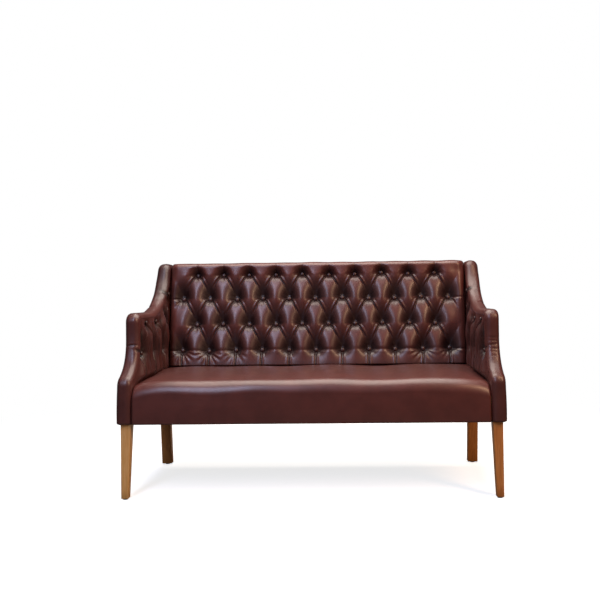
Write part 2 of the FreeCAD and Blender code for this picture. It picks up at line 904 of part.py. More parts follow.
margin = border + gap
wall = arm_outline(margin, leg_height, frame_front + gap)
drawn_in = arm_outline(margin + size("arm_pad_draw"), leg_height, frame_front + gap)
levels = (0, arm_base + arm_height_out * 0.4, arm_base + arm_height_out * 1.1)
wires = [ring_wire(ring, level) for ring, level in zip((wall, wall, drawn_in), levels)]
arm_envelope = Part.makeLoft(wires, True, True)
arm_pad_low = size("seat_height") - size("arm_pad_lift")
keep_above = Part.makeBox(
    size("overall_depth").value * 2,
    wing_height.value,
    levels[2] * 2,
    Vector(-size("overall_depth").value, arm_pad_low.value, -levels[2] / 2),
)
arm_reach = arm_pitch * arm_rib_count
arm_shape = arm_lattice.tufts(arm_envelope.common(keep_above), arm_start, arm_rib_count, arm_reach)

# Every corner of the diamonds that lies well inside the arm and in front of the back has its button.
arm_face_shape = Part.Face(wires[0])
arm_buttons = []
for row in range(arm_rib_count // 2):
    z = arm_low_row + arm_rise * row
    back_limit = on_back(back_face, as_size(z)).value
    for place in range(arm_rib_count):
        y = first_button + arm_pitch * (place - row % 2 / 2)
        corner = Vector(y, z, 0)
        if y > back_limit or not arm_face_shape.isInside(corner, 0.01, True):
            continue
        if Part.Vertex(corner).distToShape(arm_face_shape.OuterWire)[0] > size("arm_button_margin").value:
            arm_buttons.append((y, z))


def arm_place(side):
    # Stands (y, z, inward) up against the inside of an arm.
    turn = Rotation(Vector(0, 1, 0), Vector(0, 0, 1), Vector(1, 0, 0), "XYZ")
    reach = arm_pad_side.value
    return Placement(Vector(-reach if side == "left" else reach, 0, 0), turn)


# Buttons: eight-sided, widest at the rim, with an underside that follows the tufts down to the pleats


def octagon(width, level):
    angles = [math.radians(45 * turn) for turn in range(8)]
    return [Vector(width / 2 * math.cos(angle), width / 2 * math.sin(angle), level) for angle in angles]


def faceted(rings):
    # A solid with flat sides between rings of points and flat ends.
    faces = [Part.Face(Part.makePolygon(ring + ring[:1])) for ring in (rings[0], rings[-1])]
    for low, high in zip(rings, rings[1:]):
        for index in range(len(low)):
            after = (index + 1) % len(low)
            corners = [low[index], low[after], high[after], high[index], low[index]]
            faces.append(Part.Face(Part.makePolygon(corners)))
    return Part.makeSolid(Part.makeShell(faces))


button_seat = size("button_seat").value
button_diameter = size("button_diameter").value
button_clear = size("button_clearance").value


def button_on(lattice):
    seat = lattice.valley + lattice.height_beside(button_seat / 2) + button_clear
    rim = lattice.valley + lattice.height_beside(button_diameter / 2) + button_clear
    top = rim + size("button_dome").value
    widths = (button_seat, button_diameter, size("button_top").value)
    return faceted([octagon(width, level) for width, level in zip(widths, (seat, rim, top))])


def button_set(label, lattice, places, placement, flip=False):
    button = button_on(lattice)
    copies = []
    for across, up in places:
        copy = button.copy()
        copy.translate(Vector(across, up, 0))
        copies.append(copy)
    cluster = Part.makeCompound(copies)
    if flip:
        cluster = cluster.mirror(Vector(), Vector(0, 0, 1))
    return keep(solid_feature(label, cluster, placement))


button_set("back_buttons", back_lattice, back_buttons, back_place())
for side in sides:
    mirrored = side == "right"
    shape = arm_shape.Solids[0]
    if mirrored:
        shape = shape.mirror(Vector(), Vector(0, 0, 1))
    keep(solid_feature(f"{side}_inside_arm_pad", shape, arm_place(side)))
    button_set(f"{side}_arm_buttons", arm_lattice, arm_buttons, arm_place(side), mirrored)

# Webbing, foam and covers of the back

strap = size("webbing_width")
cloth_margin = size("cloth_margin")
strap_low = size("lower_rail_lift") + cloth_margin
strap_length = back_frame_top - cloth_margin - strap_low
straps = []
for place in range(back_strap_count):
    middle = back_half * (2 * (place + 0.5) / back_strap_count - 1)
    corner = (centred(middle, strap), webbing_front, strap_low)
    straps.append(leaning_box(f"back_strap_{place}", corner, (strap, size("webbing_gauge"), strap_length)))
keep(group("back_webbing", straps))

back_foam = leaning_box(
    "back_foam",
    (-back_half, back_pad_start, back_pad_low),
    (back_half * 2, size("back_foam_gauge"), back_frame_top - back_pad_low),
)
keep(back_foam)

roll_half = border_inside - gap
top_ring = [
    plain(-back_pad_start, back_frame_top),
    plain(as_size(0), back_frame_top),
    (as_size(0), back_top - size("back_roll_round"), (size("back_roll_round"), 1)),
    plain(-size("back_roll_round"), back_top),
    plain(-back_pad_start, back_top),
]
top_roll = plate("back_top_roll", "YZ_Plane", -roll_half, roll_half * 2, top_ring)
keep(lean(top_roll, 0, 0, 0))

outside_back = leaning_box(
    "outside_back_cover",
    (-half_width, size("outside_back_gauge"), 0),
    (half_width * 2, size("outside_back_gauge"), back_frame_top),
)
keep(outside_back)

# Webbing, hessian, foam and cover of the seat

seat_back = on_back(frame_front, seat_base) - size("pad_gap")
strap_length = on_back(frame_front - rail_gauge / 2, rail_top) - leg_front - cloth_margin
straps = []
for place in range(seat_strap_count):
    middle = leg_inside * (2 * (place + 0.5) / seat_strap_count - 1)
    corner = (centred(middle, strap), leg_front + cloth_margin, rail_top)
    straps.append(box(f"seat_strap_{place}", corner, (strap, strap_length, size("webbing_gauge"))))
keep(group("seat_webbing", straps))

hessian_half = post_inside - cloth_margin
hessian_length = seat_back - leg_front - cloth_margin
hessian = box(
    "seat_hessian",
    (-hessian_half, leg_front + cloth_margin, hessian_low),
    (hessian_half * 2, hessian_length, size("hessian_gauge")),
)
keep(hessian)

# Sections of the seat from its middle to a side: share of the half width, share of the side drop
seat_sections = ((0, 0), (0.88, 0.1), (0.97, 0.45), (1, 1))


def seat_ring(inset, drop, with_border):
    skin = as_size(inset)
    roll = size("seat_roll")
    top = size("seat_height") - size("seat_crown") - size("seat_side_drop") * drop
    face = front + skin
    back = seat_back - skin
    chord = back - front - roll
    crown_rise = size("seat_crown")
    crown_radius = (chord * chord / 4 + crown_rise * crown_rise) / (2 * crown_rise)
    ring = [
        plain(face, leg_height if with_border else seat_base),
        (face, top - roll, (roll - skin, -1)),
        (front + roll, top - skin, (crown_radius, -1)),
        plain(back, top - skin),
        plain(back, seat_base),
    ]
    if with_border:
        ring.append(plain(leg_front, seat_base))
        ring.append(plain(leg_front, leg_height))
    return ring


def seat_loft(label, inset, with_border):
    half = seat_half - inset
    levels = []
    rings = []
    for share, drop in reversed(seat_sections[1:]):
        levels.append(-(half * share))
        rings.append(seat_ring(inset, drop, with_border))
    for share, drop in seat_sections:
        levels.append(half * share)
        rings.append(seat_ring(inset, drop, with_border))
    return loft(label, levels, rings, "YZ_Plane", True)


seat_foam = keep(seat_loft("seat_foam", size("seat_skin"), False))
seat_outer = seat_loft("seat_cover_blank", as_size(0), True)
keep(cut("seat_cover", seat_outer, seat_foam))

# Dust cover under the rails, notched around the legs

dust_side = frame_side - cloth_margin
dust_inside = post_inside - cloth_margin
dust_front = leg_front + cloth_margin
dust_back = on_back(size("outside_back_gauge"), leg_height) - cloth_margin
dust_leg = leg_back + cloth_margin
dust_rear = on_back(frame_front, leg_height) - cloth_margin
quarter = [
    (dust_inside, dust_front),
    (dust_inside, dust_leg),
    (dust_side, dust_leg),
    (dust_side, dust_rear),
    (dust_inside, dust_rear),
    (dust_inside, dust_back),
]
dust_ring = [plain(x, y) for x, y in quarter]
dust_ring += [plain(-x, y) for x, y in reversed(quarter)]
keep(plate("dust_cover", "XY_Plane", rail_low - size("dust_gauge"), size("dust_gauge"), dust_ring))

# Check every piece, then write one STEP file for each

doc.recompute()
for item in doc.Objects:
    if "Invalid" in item.State or "Error" in item.State:
        raise RuntimeError(f"{item.Label} did not recompute")
os.makedirs("parts", exist_ok=True)
for label, item in parts.items():
    shape = item.Shape
    if shape.isNull() or not shape.isValid() or not shape.Solids:
        raise RuntimeError(f"{label} has no valid solid")
    shape.exportStep(f"parts/{label}.step")
print(len(parts), "pieces written")
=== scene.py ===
import bmesh
import bpy
import json
import math
import numpy as np
from mathutils import Matrix, Vector


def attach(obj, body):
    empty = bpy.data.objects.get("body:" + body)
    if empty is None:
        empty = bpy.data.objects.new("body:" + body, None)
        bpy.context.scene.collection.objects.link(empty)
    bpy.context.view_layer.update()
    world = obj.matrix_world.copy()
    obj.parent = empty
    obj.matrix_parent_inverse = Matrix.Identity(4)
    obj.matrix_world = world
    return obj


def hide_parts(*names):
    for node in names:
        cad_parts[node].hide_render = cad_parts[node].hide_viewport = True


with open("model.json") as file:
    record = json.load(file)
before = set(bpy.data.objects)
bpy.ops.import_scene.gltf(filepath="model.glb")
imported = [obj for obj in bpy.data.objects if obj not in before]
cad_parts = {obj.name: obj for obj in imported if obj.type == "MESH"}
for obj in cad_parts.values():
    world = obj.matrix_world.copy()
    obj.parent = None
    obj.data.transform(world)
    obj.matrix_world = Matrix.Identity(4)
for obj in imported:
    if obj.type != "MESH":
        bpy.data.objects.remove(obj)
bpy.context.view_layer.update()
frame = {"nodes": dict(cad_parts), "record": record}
print("frame loaded,", len(frame["nodes"]), "nodes")

# Shapes are worked out in mm in the frame of the CAD model and become metres in the mesh
millimetre = 0.001

sofa = {
    "halfWidth": 750, "front": -337.5, "back": 337.5, "legHeight": 296,
    "hem": 291,  # lower edge of the leather
    "wingHeight": 936, "rake": math.radians(8),
}
sofa["rearLow"] = sofa["back"] - (sofa["wingHeight"] - sofa["legHeight"]) * math.tan(sofa["rake"])


def onBack(x, u, n):
    # A point of the leaning back: u runs up the rake and n forward from its outside face
    y = sofa["rearLow"] - n * math.cos(sofa["rake"]) + u * math.sin(sofa["rake"])
    z = sofa["legHeight"] + u * math.cos(sofa["rake"]) + n * math.sin(sofa["rake"])
    return np.stack(np.broadcast_arrays(x, y, z), axis=-1)


def backFace(z):
    # Y of the outside face of the leaning back at this height
    return sofa["rearLow"] + (z - sofa["legHeight"]) * math.tan(sofa["rake"])


def linear(hexColour):
    # sRGB hex to linear, channel by channel
    raw = [int(hexColour[place:place + 2], 16) / 255 for place in (1, 3, 5)]
    return [c / 12.92 if c <= 0.04045 else ((c + 0.055) / 1.055) ** 2.4 for c in raw] + [1]


def addNode(tree, kind, settings=None, links=None):
    # One node with its settings and links; a name that is no input is a property of the node
    node = tree.nodes.new(kind)
    for key, value in (settings or {}).items():
        if isinstance(key, int) or key in node.inputs:
            node.inputs[key].default_value = value
        else:
            setattr(node, key, value)
    for key, socket in (links or {}).items():
        tree.links.new(socket, node.inputs[key])
    return node


def newMaterial(name):
    # An empty material and the object's own coordinates in it
    material = bpy.data.materials.new(name)
    material.use_nodes = True
    tree = material.node_tree
    tree.nodes.clear()
    return material, tree, addNode(tree, "ShaderNodeTexCoord").outputs["Object"]


def noise(tree, place, size, detail=2, roughness=0.5, distortion=0):
    # Cloudy noise with patches of about this size in mm
    settings = {"Scale": 1000 / size, "Detail": detail, "Roughness": roughness, "Distortion": distortion}
    return addNode(tree, "ShaderNodeTexNoise", settings, {"Vector": place}).outputs["Fac"]


def ramp(tree, value, span, out=(0, 1)):
    # A value is carried from one span to another
    settings = {1: span[0], 2: span[1], 3: out[0], 4: out[1]}
    return addNode(tree, "ShaderNodeMapRange", settings, {0: value}).outputs["Result"]


def blend(tree, share, first, second):
    # Two colours mixed; each one is a hex colour or what another node gives
    node = addNode(tree, "ShaderNodeMix", {"data_type": "RGBA"}, {0: share})
    for slot, colour in ((6, first), (7, second)):
        if isinstance(colour, str):
            node.inputs[slot].default_value = linear(colour)
        else:
            tree.links.new(colour, node.inputs[slot])
    return node.outputs[2]


def bumped(tree, height, amount, normal=None):
    # A normal tilted by a height; the amount is a strength and a distance in metres
    links = {"Height": height} if normal is None else {"Height": height, "Normal": normal}
    node = addNode(tree, "ShaderNodeBump", {"Strength": amount[0], "Distance": amount[1]}, links)
    return node.outputs["Normal"]


def paint(tree, settings, links):
    # The surface shader and the way out of the tree
    shader = addNode(tree, "ShaderNodeBsdfPrincipled", settings, links)
    addNode(tree, "ShaderNodeOutputMaterial", None, {"Surface": shader.outputs["BSDF"]})


# Buffed cowhide: dyed through and sealed with a thin semi-gloss finish; a painted shade darkens it in the folds and
# hollows
leatherLook = {
    "crown": "#602f29",
    "patch": "#562924",
    # colour of the painted shade in the folds and hollows
    "fold": "#210807",
    "grain": 2.6,  # mm between pebbles, drawn coarse enough to show
    "patchSize": 60,  # mm of the cloudy dye
    "patchSpan": (0.35, 0.65),
    "paintedShadeSpan": (0.15, 0.75),  # painted shade: the depth value where it begins and where it is darkest
    "creaseSize": 14,  # mm of the fine creases, which also vary the gloss
    "creaseSpan": (0.3, 0.7), "roughness": (0.33, 0.45),
    "foldMatte": 0.1,  # how much rougher the unpolished folds are
    "pebbleBump": (0.35, 0.00025), "creaseBump": (0.08, 0.0005),
    "finish": {"IOR": 1.5, "Coat Weight": 0.5, "Coat Roughness": 0.28, "Coat IOR": 1.45},
}


def makeLeather(name, look):
    # Cloudy dye over pebbles and fine creases; the depth attribute paints shade into the colour and makes the folds
    # rougher
    material, tree, place = newMaterial(name)
    cloud = noise(tree, place, look["patchSize"], 3)
    crease = noise(tree, place, look["creaseSize"], 4, 0.6)
    pebble = addNode(tree, "ShaderNodeTexVoronoi",
                     {"feature": "DISTANCE_TO_EDGE", "Scale": 1000 / look["grain"]}, {"Vector": place})
    # the depth attribute carries the painted shade of every piece
    depth = addNode(tree, "ShaderNodeAttribute", {"attribute_name": "depth"})
    paintedShade = ramp(tree, depth.outputs["Fac"], look["paintedShadeSpan"])
    dye = blend(tree, ramp(tree, cloud, look["patchSpan"]), look["crown"], look["patch"])
    wear = ramp(tree, crease, look["creaseSpan"], look["roughness"])
    matte = addNode(tree, "ShaderNodeMath", {"operation": "MULTIPLY_ADD", 1: look["foldMatte"]},
                    {0: paintedShade, 2: wear})
    pebbled = bumped(tree, pebble.outputs["Distance"], look["pebbleBump"])
    paint(tree, look["finish"], {
        "Base Color": blend(tree, paintedShade, dye, look["fold"]),
        "Roughness": matte.outputs["Value"],
        "Normal": bumped(tree, crease, look["creaseBump"], pebbled),
    })
    return material


def makeWood(name, light, dark, ringWidth, roughness, coat):
    # Sawn wood: long streaks of early and late wood along Z, with fine pores between them
    material, tree, place = newMaterial(name)
    along = addNode(tree, "ShaderNodeMapping", {"Scale": (1, 1, 0.06)}, {"Vector": place}).outputs["Vector"]
    streak = noise(tree, along, ringWidth, 5, 0.62, 0.6)
    pore = noise(tree, along, ringWidth * 0.22)
    paint(tree, {"IOR": 1.5, "Coat Weight": coat, "Coat Roughness": 0.3}, {
        "Base Color": blend(tree, ramp(tree, streak, (0.32, 0.68)), light, dark),
        "Roughness": ramp(tree, pore, (0, 1), (roughness - 0.06, roughness + 0.1)),
        "Normal": bumped(tree, pore, (0.2, 0.0003)),
    })
    return material


def makeCloth(name, light, dark, thread, roughness):
    # Woven or felted cloth: a chequer of threads and a dull face; on nylon the chequer is its mould grain
    material, tree, place = newMaterial(name)
    weave = addNode(tree, "ShaderNodeTexChecker",
                    {"Scale": 1000 / thread, "Color1": linear(light), "Color2": linear(dark)}, {"Vector": place})
    paint(tree, {"Roughness": roughness, "Specular IOR Level": 0.2}, {
        "Base Color": weave.outputs["Color"],
        "Normal": bumped(tree, noise(tree, place, thread * 2), (0.4, 0.0004)),
    })
    return material


leather = makeLeather("buffed_leather", leatherLook)
# colours, ring width in mm, roughness and coat of oil
# the first beech is a lighter copy of the red beech: painted light for the front left leg
paintedLitBeech = makeWood("oiled_beech_painted_lit", "#ffc882", "#e8a85a", 5, 0.45, 0.15)
redBeech = makeWood("red_oiled_beech", "#d9924e", "#ba7034", 5, 0.45, 0.12)
frameWood = makeWood("raw_beech", "#c9a777", "#b08c5c", 6, 0.7, 0)
backingBoard = makeWood("birch_ply", "#c2a06f", "#a88654", 9, 0.75, 0)
# colours, thread in mm and roughness
dustCloth = makeCloth("black_dust_cloth", "#141414", "#0c0c0c", 1.5, 0.95)
hessianCloth = makeCloth("jute_hessian", "#a5865a", "#7d6240", 2.5, 0.95)
webbingCloth = makeCloth("elastic_webbing", "#57524a", "#37332e", 2, 0.9)
glidePlastic = makeCloth("moulded_nylon", "#231f1c", "#1d1917", 3, 0.5)
print("materials made")


def gridQuads(rows, columns):
    # Quads between neighbours of a grid whose last column joins its first
    index = np.arange(rows * columns).reshape(rows, columns)
    index = np.hstack([index, index[:, :1]])
    corners = (index[:-1, :-1], index[1:, :-1], index[1:, 1:], index[:-1, 1:])
    return np.stack(corners, axis=-1).reshape(-1, 4)


def addObject(name, data):
    # A new object in the scene
    item = bpy.data.objects.new(name, data)
    bpy.context.scene.collection.objects.link(item)
    return item


def makePiece(name, points, quads, material, depth=None):
    # Points in mm and quads become one closed mesh with merged seams and outward normals
    mesh = bpy.data.meshes.new(name)
    mesh.from_pydata((points.reshape(-1, 3) * millimetre).tolist(), [], quads.tolist())
    # the depth attribute is the painted shade that darkens the leather
    if depth is not None:
        layer = mesh.attributes.new("depth", "FLOAT", "POINT")
        layer.data.foreach_set("value", depth.reshape(-1).astype(np.float32))
    work = bmesh.new()
    work.from_mesh(mesh)
    bmesh.ops.remove_doubles(work, verts=work.verts, dist=0.00001)
    bmesh.ops.dissolve_degenerate(work, edges=work.edges, dist=0.000001)
    bmesh.ops.recalc_face_normals(work, faces=work.faces)
    work.to_mesh(mesh)
    work.free()
    mesh.shade_smooth()
    mesh.materials.append(material)
    piece = addObject(name, mesh)
    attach(piece, "root")
    return piece


def closedEnds(rings):
    # Rings along a path, each end drawn to the middle of its last ring
    ends = [np.broadcast_to(ring.mean(axis=1, keepdims=True), ring.shape) for ring in (rings[:1], rings[-1:])]
    return np.concatenate([ends[0], rings, ends[1]])


def ringPiece(name, rings, material, depth=None):
    # A closed section carried along a path
    points = closedEnds(rings)
    if depth is not None:
        depth = np.concatenate([depth[:1], depth, depth[-1:]])
    return makePiece(name, points, gridQuads(*points.shape[:2]), material, depth)


def beside(*parts):
    # Parts of rings joined into whole ones
    return np.concatenate(parts, axis=1)


def waviness(a, b, wave):
    # A sum of sine waves in seeded directions; a wave is a height, a wavelength, which each sine varies, and a seed
    height, wavelength, seed = wave
    draw = np.random.default_rng(seed)
    count = 7
    total = 0
    for turn, phase, stretch in draw.uniform(0, 1, (count, 3)):
        angle = 2 * math.pi * turn
        along = (a * math.cos(angle) + b * math.sin(angle)) * (0.7 + 0.6 * stretch) / wavelength
        total = total + np.sin(2 * math.pi * (along + phase))
    return height * (total / math.sqrt(count))


def bell(distance, width):
    # A bell curve: 1 in the middle, 0.37 at the width
    return np.exp(-(distance / width) ** 2)


def smooth(share):
    # 0 to 1 without a corner at either end
    share = np.clip(share, 0, 1)
    return share * share * (3 - 2 * share)


def onset(value, start, over):
    # 0 up to the start, then eased up to 1 over a length; a negative length runs the other way
    return smooth((value - start) / over)


def turnedOver(distance, radius):
    # Height of a quarter ellipse, 0 at the edge and 1 from the radius inward
    return np.sqrt(np.clip(1 - (1 - np.clip(distance / radius, 0, 1)) ** 2, 0, 1))


def easedSpan(low, high, count, edge, edgeCount):
    # Even steps from low to high, with closer ones near both ends where the surface turns over
    turn = 1 - np.cos(np.linspace(0, math.pi / 2, edgeCount, endpoint=False))
    middle = np.linspace(low + edge, high - edge, count)
    return np.concatenate([low + edge * turn, middle, (high - edge * turn)[::-1]])


# Deep buttoning
tuftLook = {
    "aside": 66,  # mm from a button to the rim of its bowl: to the side, above and below
    "above": 118, "below": 52,
    "topNarrow": 0.27,  # the bowls of the top row are narrower above their buttons
    "funnel": 2.3,  # how steeply a bowl falls to its button
    "lip": (50, 4, 0.75),  # below a button a short steep lip: mm, steepness and share of the depth
    "slack": (110, 1.6, 0.25),  # that runs out into a long gentle one
    "power": 2,  # how flat the top of a diamond is
    "valley": 0.42,  # how far the diamonds fall towards their pleats
    "endFade": 26,  # mm past the end rows in which the diamonds die away
    "arch": 0.62,  # under 1 lets a pleat leave its button sideways and reach the next from above
    "darkBelow": 1.3,  # fading of the painted shade of a bowl: below its button, above it, above the top row
    "darkAbove": 0.8, "darkTop": 1.1,
}
pleatLook = {
    "depth": 7, "width": 3.4,
    "fold": 2.6,  # height of the folded edge beside a pleat
    "dark": 0.85, "darkWidth": 0.8,  # painted shade along a pleat: strength, and width against the pleat's
    "seam": 3,  # depth of the seams above the top row
    "pull": 4,  # depth of the pulls beside the last buttons of a wide row
    # painted shade along the seams and pulls
    "faintDark": 0.5,
}


def pleatFall(slant):
    # How far a rib has fallen at this place across it: 1 on both pleats, 0 in the middle
    return np.abs(2 * (slant - np.floor(slant)) - 1) ** tuftLook["power"]


def tufting(across, down, lattice):
    # Gives the share of the full height (0 at a button), the folds in mm and the shade. A button sits in a bowl of
    # two half ellipses, the longer one above it. From it a pleat runs to either side along an arch and dies away
    # before the next row, with a folded edge outside. The diamonds swell as two slanting ribs that are added.
    look, pleat = tuftLook, pleatLook
    pitch, rise = lattice["pitch"], lattice["rise"]
    p = (across - lattice["firstAcross"]) / pitch
    q = down / rise
    first, last = lattice["rows"]
    leftEnd, rightEnd = lattice["columns"]
    inside = np.clip(q, first, last)
    arched = np.floor(inside) + (inside - np.floor(inside)) ** look["arch"]
    valley = (pleatFall(p + arched / 2) + pleatFall(p - arched / 2)) / 2
    pastSide = np.clip(np.maximum(leftEnd - p, p - rightEnd), 0, None) * pitch
    pastEnd = np.abs(q - inside) * rise
    high = 1 - look["valley"] * valley * bell(pastSide, lattice["sideFade"]) * bell(pastEnd, look["endFade"])
    shade = np.zeros_like(p)
    folds = np.zeros_like(p)
    for row in range(first, last + 1):
        isTop = row == first
        leftmost = math.ceil(leftEnd + row / 2) - row / 2
        rightmost = math.floor(rightEnd + row / 2) - row / 2
        dx = (p - np.clip(np.round(p + row / 2) - row / 2, leftmost, rightmost)) * pitch
        dy = (q - row) * rise
        tall = np.where(dy > 0, look["below"], lattice["topBowl"] if isTop else look["above"])
        wide = look["aside"] * (1 - (look["topNarrow"] * onset(dy, 14, -26) if isTop else 0))
        bowl = np.clip(1 - np.hypot(dx / wide, dy / tall), 0, 1)
        fall = bowl ** look["funnel"]
        lips = sum(part * np.clip(1 - np.hypot(dx / wide, dy / length), 0, 1) ** steepness
                   for length, steepness, part in (look["lip"], look["slack"]))
        high = high * (1 - fall - (lips - fall) * onset(dy, 0, 14))
        # painted shade in the bowl, fading out from the button
        fading = np.where(dy > 0, look["darkBelow"], look["darkTop"] if isTop else look["darkAbove"])
        shade = np.maximum(shade, bowl ** fading)
        if row == last:
            # below the lowest row a narrow pleat drops straight to the seat
            off = dx
            reach = onset(dy, 6, 14) * bell(dy, lattice["lowFade"])
            edge = bell(np.abs(off) - 8, 4.5)
        else:
            share = np.clip(dy / rise, 0.001, 1)
            line = pitch / 2 * share ** look["arch"]
            steep = np.hypot(1, pitch / 2 / rise * look["arch"] * share ** (look["arch"] - 1))
            off = (np.abs(dx) - line) / steep
            reach = onset(dy, 3, 9) * (1 - onset(share, 0.25, 0.45)) * bell(pastSide, 24)
            # outside the folded edge lies a hollow half as deep
            edge = bell(off - 7.5, 4.2) - 0.5 * bell(off - 15, 4.5)
        folds += pleat["fold"] * reach * edge
        folds -= pleat["depth"] * reach * bell(off, pleat["width"])
        shade = np.maximum(shade, pleat["dark"] * reach * bell(off, pleat["width"] * pleat["darkWidth"]))
        if isTop:
            # a faint seam runs up from every button of the top row
            seam = bell(dx, 3) * onset(dy, 0, -20) * bell(dy, 70)
            folds -= pleat["seam"] * seam
            shade = np.maximum(shade, pleat["faintDark"] * seam)
        if (row - first) % 2 == 1:
            # the last button of a wide row pulls a short pleat to the side
            pull = bell(dy - 3, 4) * onset(pastSide, 8, 14) * bell(pastSide, 60)
            folds -= pleat["pull"] * pull
            shade = np.maximum(shade, pleat["faintDark"] * pull)
    return high, folds, np.clip(shade, 0, 1)


def buttonWrinkles(across, up, places, seed, height=0.8, window=60):
    # Short creases like the spokes of a wheel: a cosine round every button
    draw = np.random.default_rng(seed)
    total = np.zeros_like(across)
    for x, y in places:
        spokes, phase = draw.integers(6, 10), draw.uniform(0, 2 * math.pi)
        near = (np.abs(across - x) < window) & (np.abs(up - y) < window)
        dx, dy = across[near] - x, up[near] - y
        total[near] += np.cos(spokes * np.arctan2(dy, dx) + phase) * bell(np.hypot(dx, dy) - 20, 11)
    return total * height


def fanWrinkles(across, up, places, gathers=15):
    # Gathers below a button: a cosine round it that swells and dies away with distance
    total = np.zeros_like(across)
    for x, y, strength in places:
        dx, dy = across - x, up - y
        fan = np.cos(gathers * np.arctan2(dy, dx) + x) * bell(np.hypot(dx, dy) - 46, 20)
        total += strength * fan * onset(dy, 0, -16)
    return total


# Inside back
backLook = {
    "half": 692.4, "low": 156, "top": 645.6, "base": 57, "crown": 103,
    "well": 46,  # from the crown down to the pit of a button
    "floor": 0.22,  # share of the well that the button fills
    "sideRoll": 38, "topRoll": 26, "lowRoll": 6,
    "corner": 14,  # the top corners are rounded
    "rim": 1,  # thickness left at the edge of the pad
    "lowCrease": (1.8, 7),  # along the lowest row: depth and width
    "dark": 0.14,  # painted shade: all over, and more towards the seat
    "lowDark": [(0.1, 270, -50), (0.2, 190, -25)],
    # buttonDark is a painted shade on the back buttons
    "buttonDark": 0.55, "columns": 540, "rows": 190,
}
backLattice = {
    "pitch": 124, "rise": 120.67, "firstAcross": 62, "topRow": 592,
    "columns": (-5.5, 4.5), "rows": (0, 3), "sideFade": 46, "lowFade": 90,
    "topBowl": 54,  # the bowls of the top row close below the top edge
}
backButtons = [
    (backLattice["pitch"] / 2 * (2 * place - count + 1), backLattice["topRow"] - backLattice["rise"] * row)
    for row, count in enumerate((10, 11, 10, 11))
    for place in range(count)
]
# gathers at the lower corners: x, height and strength
backFans = [(-620, 230, 1.5), (-496, 230, 1.8), (-372, 230, 0.6),
            (496, 230, 1.3), (620, 230, 0.6)]


def backDrift(x, u, aside=8, topDrop=7):
    # Hand work is uneven: the diamonds sit a little to the left and wander, and the top row is lower
    upward = waviness(x, u, (2.6, 240, 12)) + topDrop * onset(u, 490, 100)
    return aside + waviness(x, u, (2.4, 260, 11)), upward


def topLine(x):
    # Height of the top edge: level, rounded off at both corners
    look = backLook
    into = np.clip((np.abs(x) - look["half"] + look["corner"]) / look["corner"], 0, 1)
    return look["top"] - look["corner"] * (1 - np.sqrt(1 - into ** 2)) + waviness(x, 0, (0.9, 150, 21))


def insideBack():
    # Height over the base: the crown less the bowls, with pleats and wrinkles added, turned over along every side
    look = backLook
    x = easedSpan(-look["half"], look["half"], look["columns"], look["sideRoll"], 10)[:, None]
    topShare = look["topRoll"] / (look["top"] - look["low"])
    level = easedSpan(0, 1, look["rows"], topShare, 9)[None, :]
    top = topLine(x)
    u = look["low"] + (top - look["low"]) * level
    x = np.broadcast_to(x, u.shape)
    driftX, driftU = backDrift(x, u)
    high, folds, dark = tufting(x + driftX, backLattice["topRow"] - u - driftU, backLattice)
    # painted shade: the bowls and pleats, a little all over and more towards the seat
    dark = look["dark"] + (1 - look["dark"]) * dark
    for strength, start, over in look["lowDark"]:
        dark = dark + strength * onset(u, start, over)
    high = np.maximum(high, look["floor"])
    lift = look["crown"] - look["base"] - look["well"] * (1 - high) + folds
    creaseDepth, creaseWidth = look["lowCrease"]
    fromLowRow = u + driftU - backButtons[-1][1]
    lift = lift - (creaseDepth + waviness(x, 0, (1.2, 200, 8))) * bell(fromLowRow, creaseWidth) * high
    lift = lift + waviness(x, u, (1.4, 210, 5)) * high
    lift = lift + buttonWrinkles(x + driftX, u + driftU, backButtons, 6)
    lift = lift + fanWrinkles(x + driftX, u + driftU, backFans)
    roll = turnedOver(look["half"] - np.abs(x), look["sideRoll"])
    roll = roll * turnedOver(top - u, look["topRoll"]) * turnedOver(u - look["low"], look["lowRoll"])
    face = onBack(x, u, look["base"] + lift * roll)
    # the flat side against the foam closes the pad
    behindU = look["low"] + (top - look["low"]) * np.linspace(1, 0, 8)[None, :]
    behind = onBack(x[:, :1], behindU, look["base"] - look["rim"])
    shade = beside(dark, np.zeros(behind.shape[:2]))
    piece = ringPiece("insideBack", beside(face, behind), leather, shade)
    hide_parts("inside_back_pad", "back_foam")


insideBack()
print("inside back made")

# Covered buttons
buttonLook = {
    "radius": 9.5, "height": 5,
    "stand": 1.5,  # mm above the floor of the bowl
    "turns": 16,
}


def buttonCopies(name, centres, axes, node, dark):
    # A dome: its radius grows as the sine of the angle from the top, its height falls as the cosine
    look = buttonLook
    fall = np.linspace(0, 2.2, 8)[:, None]
    turn = np.linspace(0, 2 * math.pi, look["turns"], endpoint=False)[None, :]
    radius = look["radius"] * np.sin(fall) ** 0.8
    height = look["height"] * (np.cos(fall) + 0.1)
    shape = np.stack(np.broadcast_arrays(radius * np.cos(turn), radius * np.sin(turn), height), axis=-1)
    shape = closedEnds(shape)
    right, up, out = axes
    turned = shape[..., :1] * right + shape[..., 1:2] * up + shape[..., 2:] * out
    points = centres[:, None, None, :] + turned[None]
    quads = gridQuads(*shape.shape[:2])
    step = shape.shape[0] * shape.shape[1]
    quads = (quads[None] + step * np.arange(len(centres))[:, None, None]).reshape(-1, 4)
    # each button carries an even painted shade
    piece = makePiece(name, points, quads, leather, np.full(points.shape[:3], dark))
    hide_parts(node)


